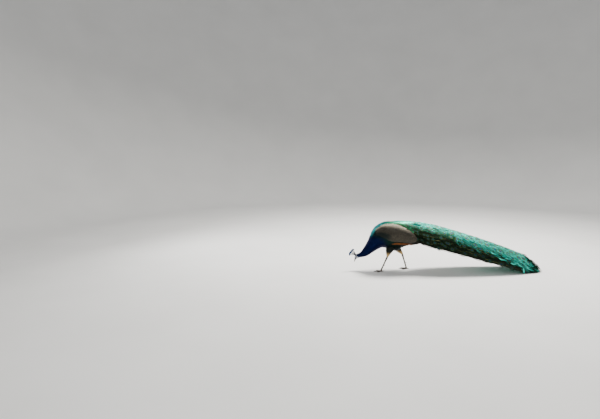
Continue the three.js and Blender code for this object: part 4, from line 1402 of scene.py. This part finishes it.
def makePlumes():
    # Long train feathers: a bare shaft, loose barbs slanting back on both sides, and an eyespot at the
    # end with barbs standing round it. Each lies over the next one back, its root sunk by deep.
    rng = np.random.default_rng(80)
    a, b = rowsOver(trainSurface, plume["first"], plume["last"], lambda a: (-plume["side"], plume["side"]),
                    lambda a: (sizeAt(plume["pitch"], a) * 0.95, sizeAt(plume["pitch"], a) * 0.92), 81)
    count = len(a)
    a, b = onTrain(a, b, 0 * a, *rng.normal(0, plume["scatter"], (2, count)))
    b = np.clip(b, -plume["side"], plume["side"])
    feathers = {
        "a": a,
        "b": b,
        "size": sizeAt(plume["eyeSize"], a) * rng.uniform(0.88, 1.08, count),
        "turn": 0.07 * b / 90 + rng.normal(0, 0.07, count),
        "reach": sizeAt(plume["reach"], a),
        "shift": rng.normal(0, 3, count) + 9 * smooth(a, 0.4, 0.7) * rng.normal(0, 1, count),
        "bronze": 0.32 * rng.uniform(0, 1, count) ** 1.6,
        "light": rng.uniform(0.72, 1.25, count),
    }
    makeEyespots(rng, feathers)
    shafts = layShafts(feathers)
    for name, side in sides.items():
        makeBarbs(rng, feathers, name, side)
    makePiece("train_shafts", joined([shafts, layRing(rng, feathers)]), trainFinish, "train_plumage")
    print("   ", count, "eyespots")


makeTrainBase()
makeTrainScales()
makePlumes()
print("train made")


# Long barbs along both hems, laid in layers at angles from the ridge; teeth in the ridge's painted highlight
# where it ends; barbs that curl like hooks, also in painted highlight; the longest feathers, which end in a
# fork; and some that hang down.
# Places are a and degrees, and rows of the fork are a and a number of feathers.
sword = {"from": 0.2, "to": 0.95, "step": 8, "length": (50, 80), "wide": 4.0, "angles": (87, 81, 75, 69, 63)}
teeth = {"from": 0.46, "to": 0.93, "step": 5.5, "length": 50, "wide": 3.2, "layers": 4, "apart": 6.5}
hooks = {"places": [(0.63, 55), (0.665, 66), (0.7, 60), (0.725, 72), (0.765, 64), (0.805, 74), (0.835, 66)],
         "barbs": 10, "length": (52, 76), "wide": 2.8, "turn": (0.2, 0.9), "bend": 0.6}
hanging = {"places": [(0.8, 86), (0.835, 78), (0.86, 87), (0.885, 72)], "barbs": 9, "length": 52,
           "wide": 4.0, "bend": 8.0}
fork = {"rows": [(0.85, 9), (0.88, 11), (0.91, 12), (0.94, 12), (0.965, 9)], "length": (60, 110),
        "wide": 3.6, "open": 8, "bend": 14, "barbs": 6, "lean": 0.3, "lift": (-3, 22)}


def layBarbs(parts, a, b, length, wide, turn, bend, colour, seed, low=-3.0, high=1.0, thick=0.6):
    # one set of long single barbs on the train, light or dark by a fifth
    vanes = layVanes(trainSurface, a, b, forms["hair"], length, wide, turn, low=low, high=high, thick=thick,
                     camber=0.0, bend=bend)
    parts.append(paint(vanes, forms["hair"], colour, colour.mean(0) * 0.8, 0.15, 0.22, seed))


def laySwords(parts, rng, side):
    # long dark barbs that sweep back along a hem, layer over layer
    for layer, angle in enumerate(sword["angles"]):
        a = np.arange(sword["from"], sword["to"], sword["step"] / train["run"]) + rng.uniform(0, 0.004)
        count = len(a)
        b = side * np.minimum(angle + rng.uniform(-3, 3, count), 89.5)
        length = mix(*sword["length"], smooth(a, 0.2, 0.7)) * rng.uniform(0.8, 1.1, count)
        bronze = 0.4 * rng.uniform(0, 1, count)
        colour = trainTone(a, b, 0 * a, bronze) * rng.uniform(0.7, 1.3, (count, 1))
        turn = side * rng.uniform(0.02, 0.12 + 0.05 * layer, count)
        layBarbs(parts, a, b, length, sword["wide"], turn, -side * length * (0.06 + 0.04 * layer),
                 colour * 0.8, 91 + layer, -5.0 - layer, rng.uniform(-1.5, 1.5, count))


def layTeeth(parts, rng, side):
    # barbs in the ridge's painted highlight colours that hang where it ends, darker from layer to layer down
    # the side as painted shade
    for layer in range(teeth["layers"]):
        a = np.arange(teeth["from"], teeth["to"], teeth["step"] / train["run"])
        a = a + rng.uniform(-0.004, 0.004)
        count = len(a)
        b = side * (highlightEdge(a) - 6 + teeth["apart"] * layer + rng.normal(0, 5, count))
        length = teeth["length"] * rng.uniform(0.45, 1.3, count)
        colour = mix(tones["trainLitTeal"], tones["trainHighlight"], rng.uniform(0, 0.5, count)[:, None])
        turn = side * rng.uniform(0.35, 0.9, count)
        layBarbs(parts, a, b, length, teeth["wide"], turn, -side * length * 0.3, colour * (1 - 0.2 * layer),
                 95 + layer, 0.0, rng.uniform(1.5, 7.0, count))


def layHooks(parts, rng, side):
    # sprays of barbs in the ridge's painted highlight colours that curl over
    place = np.array(hooks["places"])
    count = len(place)
    length = rng.uniform(*hooks["length"], count)
    turn = rng.uniform(*hooks["turn"], count)
    curl = rng.choice([-1, 1], count, p=[0.7, 0.3]) * hooks["bend"]
    for barb in range(hooks["barbs"]):
        share = barb / (hooks["barbs"] - 1)
        a, b = onTrain(place[:, 0], side * place[:, 1], 0 * place[:, 0], -9 * share, side * 4 * share)
        pale = mix(tones["trainLitTeal"], tones["trainHighlight"], 0.1 + 0.5 * share)
        reach = length * (1 - 0.35 * share) * rng.uniform(0.85, 1.1, count)
        colour = np.tile(pale * (0.7 + 0.35 * share), (count, 1))
        barbTurn = side * (turn + 0.16 * share + rng.normal(0, 0.03, count))
        bend = side * curl * reach * (1 - 0.2 * share)
        layBarbs(parts, a, b, reach, hooks["wide"], barbTurn, bend, colour, 98 + barb, 1.0,
                 5.0 + rng.uniform(0, 2.5, count), 0.8)


def layHanging(parts, rng, side):
    # barbs that hang nearly straight down from the hem, dark with the painted shade of the train's sides
    place = np.array(hanging["places"])
    for barb in range(hanging["barbs"]):
        a, b = onTrain(place[:, 0], side * place[:, 1], 0 * place[:, 0], 2.6 * barb - 12, 0.0)
        turn = side * (1.05 - 0.05 * barb + rng.normal(0, 0.08, len(a)))
        colour = trainTone(a, b, 0 * a, 0.2 + 0 * a) * 0.8
        layBarbs(parts, a, np.clip(b, -89, 89), hanging["length"], hanging["wide"], turn,
                 -side * hanging["bend"], colour, 110 + barb, -2.0, 3.0)


def layFork(parts, rng):
    # the longest feathers: two fans of dark barbs each, open to both sides, lifted at their ends
    for row, (at, count) in enumerate(fork["rows"]):
        b = np.linspace(-82, 82, count) + rng.uniform(-5, 5, count)
        a = np.full(count, at) + rng.uniform(-0.014, 0.01, count)
        length = rng.uniform(*fork["length"], count) * (1 - 0.1 * row)
        lean = 0.12 * b / 90 + rng.normal(0, fork["lean"], count)
        lift = rng.uniform(*fork["lift"], count)
        for half in (-1, 1):
            for barb in range(fork["barbs"]):
                share = barb / (fork["barbs"] - 1)
                placeA, placeB = onTrain(a, b, lean, -30 + 34 * share, half * (1 - share))
                colour = mix(tones["blackGreen"], tones["trainGreen"], 0.2 + 0.6 * share)
                turn = half * np.radians(fork["open"] + 16 * (1 - share)) + lean
                layBarbs(parts, placeA, placeB, length * (1 - 0.35 * share), fork["wide"], turn,
                         -half * fork["bend"] * (1 - 0.5 * share), np.tile(colour, (count, 1)), 120 + barb,
                         -4.0 - 1.5 * row, lift, 0.7)


def makeTrainEdges():
    # all the loose barbs round the edges of the train are one piece
    parts = []
    rng = np.random.default_rng(90)
    for side in (-1, 1):
        laySwords(parts, rng, side)
        layTeeth(parts, rng, side)
        layHooks(parts, rng, side)
        layHanging(parts, rng, side)
    layFork(parts, rng)
    makePiece("train_edges", joined(parts), trainFinish, "train_plumage")


makeTrainEdges()

# stiff tail feathers below the train: a fan that falls back from the root of the tail
tail = {"from": 206, "to": 585, "z": 334, "fall": -46, "rootHalf": 30, "endHalf": 92, "bow": 14,
        "roundEnd": 14, "count": 18, "length": 378, "wide": 15}


def tailSurface(a, b, depth=0.0):
    # a runs back along the fan, b from -1 to 1 across it: half width = root to end by a^0.8
    crown = 1 - b * b
    half = mix(tail["rootHalf"], tail["endHalf"], np.clip(a, 0, 1) ** 0.8)
    x = mix(tail["from"], tail["to"], a) + tail["roundEnd"] * a * crown
    return np.stack([x, b * half, tail["z"] + tail["fall"] * a + tail["bow"] * crown - depth], -1)


def makeTail():
    # stiff feathers side by side, the middle ones uppermost
    b = np.linspace(-0.93, 0.93, tail["count"])
    a = np.full(tail["count"], 0.004)
    rise = 3.2 * (1 - np.abs(b)) + 0.3 * np.sign(b)
    vanes = layVanes(tailSurface, a, b, forms["long"], tail["length"] * (1 - 0.05 * b**2), tail["wide"], 0.0,
                     low=-1.5 + rise * 0.4, high=-1.5 + rise, thick=0.8, camber=0.8, rise=1.0)
    core = np.tile(tones["tailBrown"], (tail["count"], 1))
    paint(vanes, forms["long"], core, tones["tailBrown"] * 0.6, 0.5, 0.12, 100, tones["tailTip"])
    makePiece("tail_vanes", vanes, tailFinish, "tail_plumage", ["tail"])


tailFinish, tailTree, tailShader = newMaterial("tailFinish", {"Roughness": 0.75, "Sheen Weight": 0.15})
tailAlong, _, _ = vaneNode(tailTree)
mottle = mathNode(tailTree, "MULTIPLY", noiseNode(tailTree, 60.0, 3.0), 3.0)
tailWave = mathNode(tailTree, "SINE", mathNode(tailTree, "MULTIPLY_ADD", tailAlong, 62.0, mottle))
tailLight = rangeNode(tailTree, tailWave, -0.6, 0.6, 0.62, 1.15)
finishColour(tailTree, tailShader, ownColour(tailTree), tailLight)
finishBump(tailTree, tailShader, tailWave, 0.2, 0.0005)
makeTail()
print("train edges and tail made")


# shanks, feet, claws and spurs; a toe turns outwards from straight ahead, by degrees
shank = {"length": 153, "shares": [0, 0.12, 0.4, 0.75, 1], "radii": [7.4, 8.9, 6.8, 6.8, 7.4], "plates": 19}
pad = {"length": 10.5, "width": 9.5, "height": 9, "z": 7.5}
toes = {
    "middle": {"turn": 2, "length": 62, "raise": 7, "root": 6.2, "tip": 4.2, "claw": 15},
    "inner": {"turn": -32, "length": 43, "raise": 7, "root": 5.6, "tip": 4, "claw": 13},
    "outer": {"turn": 34, "length": 46, "raise": 7, "root": 5.6, "tip": 4, "claw": 13},
    "hind": {"turn": -164, "length": 21, "raise": 9, "root": 4.8, "tip": 3.6, "claw": 11},
}
claw = {"sunk": 3, "radii": [2.9, 2.3, 0.5], "heights": [4.4, 4.2, 0.8]}
spur = {"up": 56, "length": 21, "root": 5, "point": 0.6, "inward": 0.45, "rise": 0.1}
legFinish = hornMaterial(
    "legFinish", {"Roughness": 0.55, "Coat Weight": 0.08}, grain=300.0, stretch=(1.0, 1.0, 1.0), shade=0.16)
clawFinish = hornMaterial(
    "clawFinish", {"Roughness": 0.38, "Coat Weight": 0.2}, grain=500.0, stretch=(1.0, 1.0, 0.4), shade=0.25)


def scaledSkin(surface, rows, columns, plates, toward, size=0.55):
    # Broad plates on the side that faces toward, each lifted to its far edge, f = fraction of a plates:
    # height = size f; small round scales elsewhere: height = size / 2 |sin sin|.
    a, b = limbGrid(0.002, 0.998, rows, columns)
    point, _, _, normal = frameOn(surface, a, b)
    plate = smooth(normal @ np.array(toward), 0.3, 0.62)
    f = (a * plates) % 1
    groove = bell(f, 0.0, 0.09) + bell(f, 1.0, 0.09)
    cellRow = np.floor(plates * 1.6 * a)
    cells = np.abs(np.sin(np.pi * plates * 1.6 * a) * np.sin(np.pi * (10 * b + 0.5 * cellRow)))
    height = mix(size * 0.55 * cells, size * (f - 0.8 * bell(f, 1.0, 0.06)), plate)
    grid = point + normal * height[..., None]
    grid[..., 2] = np.maximum(grid[..., 2], 0.05)
    dark = mix(0.8 * (1 - cells), groove, plate)
    colour = mix(tones["leg"], tones["legDark"], np.clip(dark, 0, 1)[..., None])
    # a painted highlight across the middle of each broad plate
    colour = mix(colour, tones["leg"] * 1.25, (plate * 0.4 * bell(f, 0.55, 0.25))[..., None])
    return tube(grid, colour)


def makeLeg(name):
    # A scaled shank from hock to heel, a pad with four scaled toes that end in claws, and a ringed spur:
    # each is a round limb along its own line, kept above the floor.
    leg = legs[name]
    outside = np.sign(leg["y"])
    hock = np.array([leg["hock"][0], leg["y"], leg["hock"][1]], float)
    heel = np.array([leg["heel"][0], leg["y"], leg["heel"][1]], float)
    axis = unit((heel - hock) * [1, 0, 1])
    line = [hock + axis * share * shank["length"] for share in shank["shares"]]
    front = np.array([axis[2], 0.0, -axis[0]])
    shankSkin = scaledSkin(limbSurface(line, shank["radii"]), 190, 36, shank["plates"], front, 0.7)
    makePiece("shank_skin_" + name, shankSkin, legFinish, "leg_scales", ["shank_" + name])

    def toePoint(toe, reach, z):
        turn = np.radians(toe["turn"])
        return np.array([heel[0] - np.cos(turn) * reach, heel[1] + outside * np.sin(turn) * reach, z])

    up, turn = np.meshgrid(np.linspace(0.04, np.pi - 0.04, 24), fullTurn(32), indexing="ij")
    ball = np.stack([np.cos(turn) * np.sin(up) * pad["length"], np.sin(turn) * np.sin(up) * pad["width"],
                     np.cos(up) * pad["height"]], -1) + [heel[0], heel[1], pad["z"]]
    ball[..., 2] = np.maximum(ball[..., 2], 0.05)
    parts = [tube(ball, np.broadcast_to(tones["leg"] * 0.85, ball.shape))]
    claws = []
    for toe in toes.values():
        line = [toePoint(toe, 0, toe["raise"]), toePoint(toe, toe["length"] * 0.45, toe["root"] - 0.2),
                toePoint(toe, toe["length"], toe["tip"] - 0.9)]
        radii = [toe["root"], (toe["root"] + toe["tip"]) / 2, toe["tip"]]
        plates = round(toe["length"] / 4.2)
        parts.append(scaledSkin(limbSurface(line, radii), 84, 26, plates, (0, 0, 1), 0.5))
        reach = np.array([-claw["sunk"], toe["claw"] * 0.5, toe["claw"]]) + toe["length"]
        nail = limbSurface([toePoint(toe, d, z) for d, z in zip(reach, claw["heights"])], claw["radii"])
        a, b = limbGrid(0.0, 1.0, 22, 16)
        point = nail(a, b)
        point[..., 2] = np.maximum(point[..., 2], 0.05)
        claws.append(tube(point, mix(tones["claw"] * 1.6, tones["claw"], a[..., None])))
    makePiece("foot_skin_" + name, joined(parts), legFinish, "leg_scales", ["foot_" + name])
    names = [f"claw_{toe}_{name}" for toe in toes]
    makePiece("claw_tips_" + name, joined(claws), clawFinish, "claw_horn", names)

    back = unit(np.array([-axis[2], -outside * spur["inward"], axis[0] + spur["rise"]]))
    root = hock + axis * (shank["length"] - spur["up"])
    bow = [root, root + back * spur["length"] * 0.5 - [0, 0, 0.8], root + back * spur["length"]]
    cone = limbSurface(bow, [spur["root"], spur["root"] * 0.62, spur["point"]])
    a, b = limbGrid(0, 1, 30, 24)
    rings = 0.12 * np.sin(a * 50) * (1 - a)
    horn = tube(cone(a, b, -rings), mix(tones["leg"] * 0.8, tones["claw"], a[..., None]))
    makePiece("spur_horn_" + name, horn, clawFinish, "claw_horn", ["spur_" + name])


for name in legs:
    makeLeg(name)
print("legs made")


stageShape = {"flat": 5.5, "edge": 13.0, "height": 8.5}


def makeStage():
    # a round pale floor that turns up into a backdrop all round: z = height smooth(radius, flat, edge),
    # in metres
    radius, turn = np.meshgrid(np.linspace(0.05, stageShape["edge"], 60), fullTurn(96), indexing="ij")
    z = stageShape["height"] * smooth(radius, stageShape["flat"], stageShape["edge"]) - 0.0005
    grid = np.stack([radius * np.cos(turn), radius * np.sin(turn), z], -1)
    index = np.arange(radius.size).reshape(radius.shape)
    mesh = bpy.data.meshes.new("floor")
    mesh.from_pydata(grid.reshape(-1, 3).tolist(), [], ringFaces(index).tolist() + [index[0].tolist()])
    mesh.update()
    mesh.polygons.foreach_set("use_smooth", np.ones(len(mesh.polygons), bool))
    floor = bpy.data.objects.new("floor", mesh)
    bpy.context.scene.collection.objects.link(floor)
    material, tree, shader = newMaterial("paleFloor", {"Roughness": 0.9})
    shade = rangeNode(tree, noiseNode(tree, 1.2), 0.3, 0.7, 0.97, 1.03)
    finishColour(tree, shader, tones["floor"], shade)
    mesh.materials.append(material)


def addLight(name, at, to, size, power, colour):
    # a round soft light that looks from one place to another
    light = bpy.data.lights.new(name, "AREA")
    light.shape = "DISK"
    light.size = size
    light.energy = power
    light.color = colour
    lamp = bpy.data.objects.new(name, light)
    lamp.location = at
    aim = Vector(np.array(to) - np.array(at))
    lamp.rotation_euler = aim.to_track_quat("-Z", "Y").to_euler()
    bpy.context.scene.collection.objects.link(lamp)


lights = {
    "key": {"at": (0.5, 1.3, 3.9), "to": (0, 0, 0.3), "size": 1.6, "power": 460,
            "colour": (1.0, 0.98, 0.95)},
    "fill": {"at": (-1.5, -3.6, 2.4), "to": (0, 0, 0.25), "size": 2.8, "power": 26,
             "colour": (0.95, 0.98, 1.0)},
    "rim": {"at": (-2.8, 1.2, 1.6), "to": (-0.6, 0, 0.2), "size": 1.2, "power": 40, "colour": (1, 1, 1)},
}
makeStage()
for name, light in lights.items():
    addLight(name, **light)
skyLight = {"colour": (0.93, 0.95, 1.0, 1), "strength": 0.46}
world = bpy.data.worlds.new("paleWorld")
world.use_nodes = True
world.node_tree.nodes["Background"].inputs[0].default_value = skyLight["colour"]
world.node_tree.nodes["Background"].inputs[1].default_value = skyLight["strength"]
bpy.context.scene.world = world

# the camera stands to the bird's left and tilts down; at a distance of away, the view is across wide
cameraView = {"at": (-0.93, -4.47, 1.239), "tilt": 82, "sensor": 36.0, "across": 600, "away": 460}
view = bpy.data.cameras.new("camera")
view.sensor_width = cameraView["sensor"]
view.lens = cameraView["sensor"] * cameraView["away"] / cameraView["across"]
camera = bpy.data.objects.new("camera", view)
camera.location = (cameraView["at"][0] + shiftX, *cameraView["at"][1:])
camera.rotation_euler = (np.radians(cameraView["tilt"]), 0, 0)
bpy.context.scene.collection.objects.link(camera)
bpy.context.scene.camera = camera
print("stage, lights and camera set")
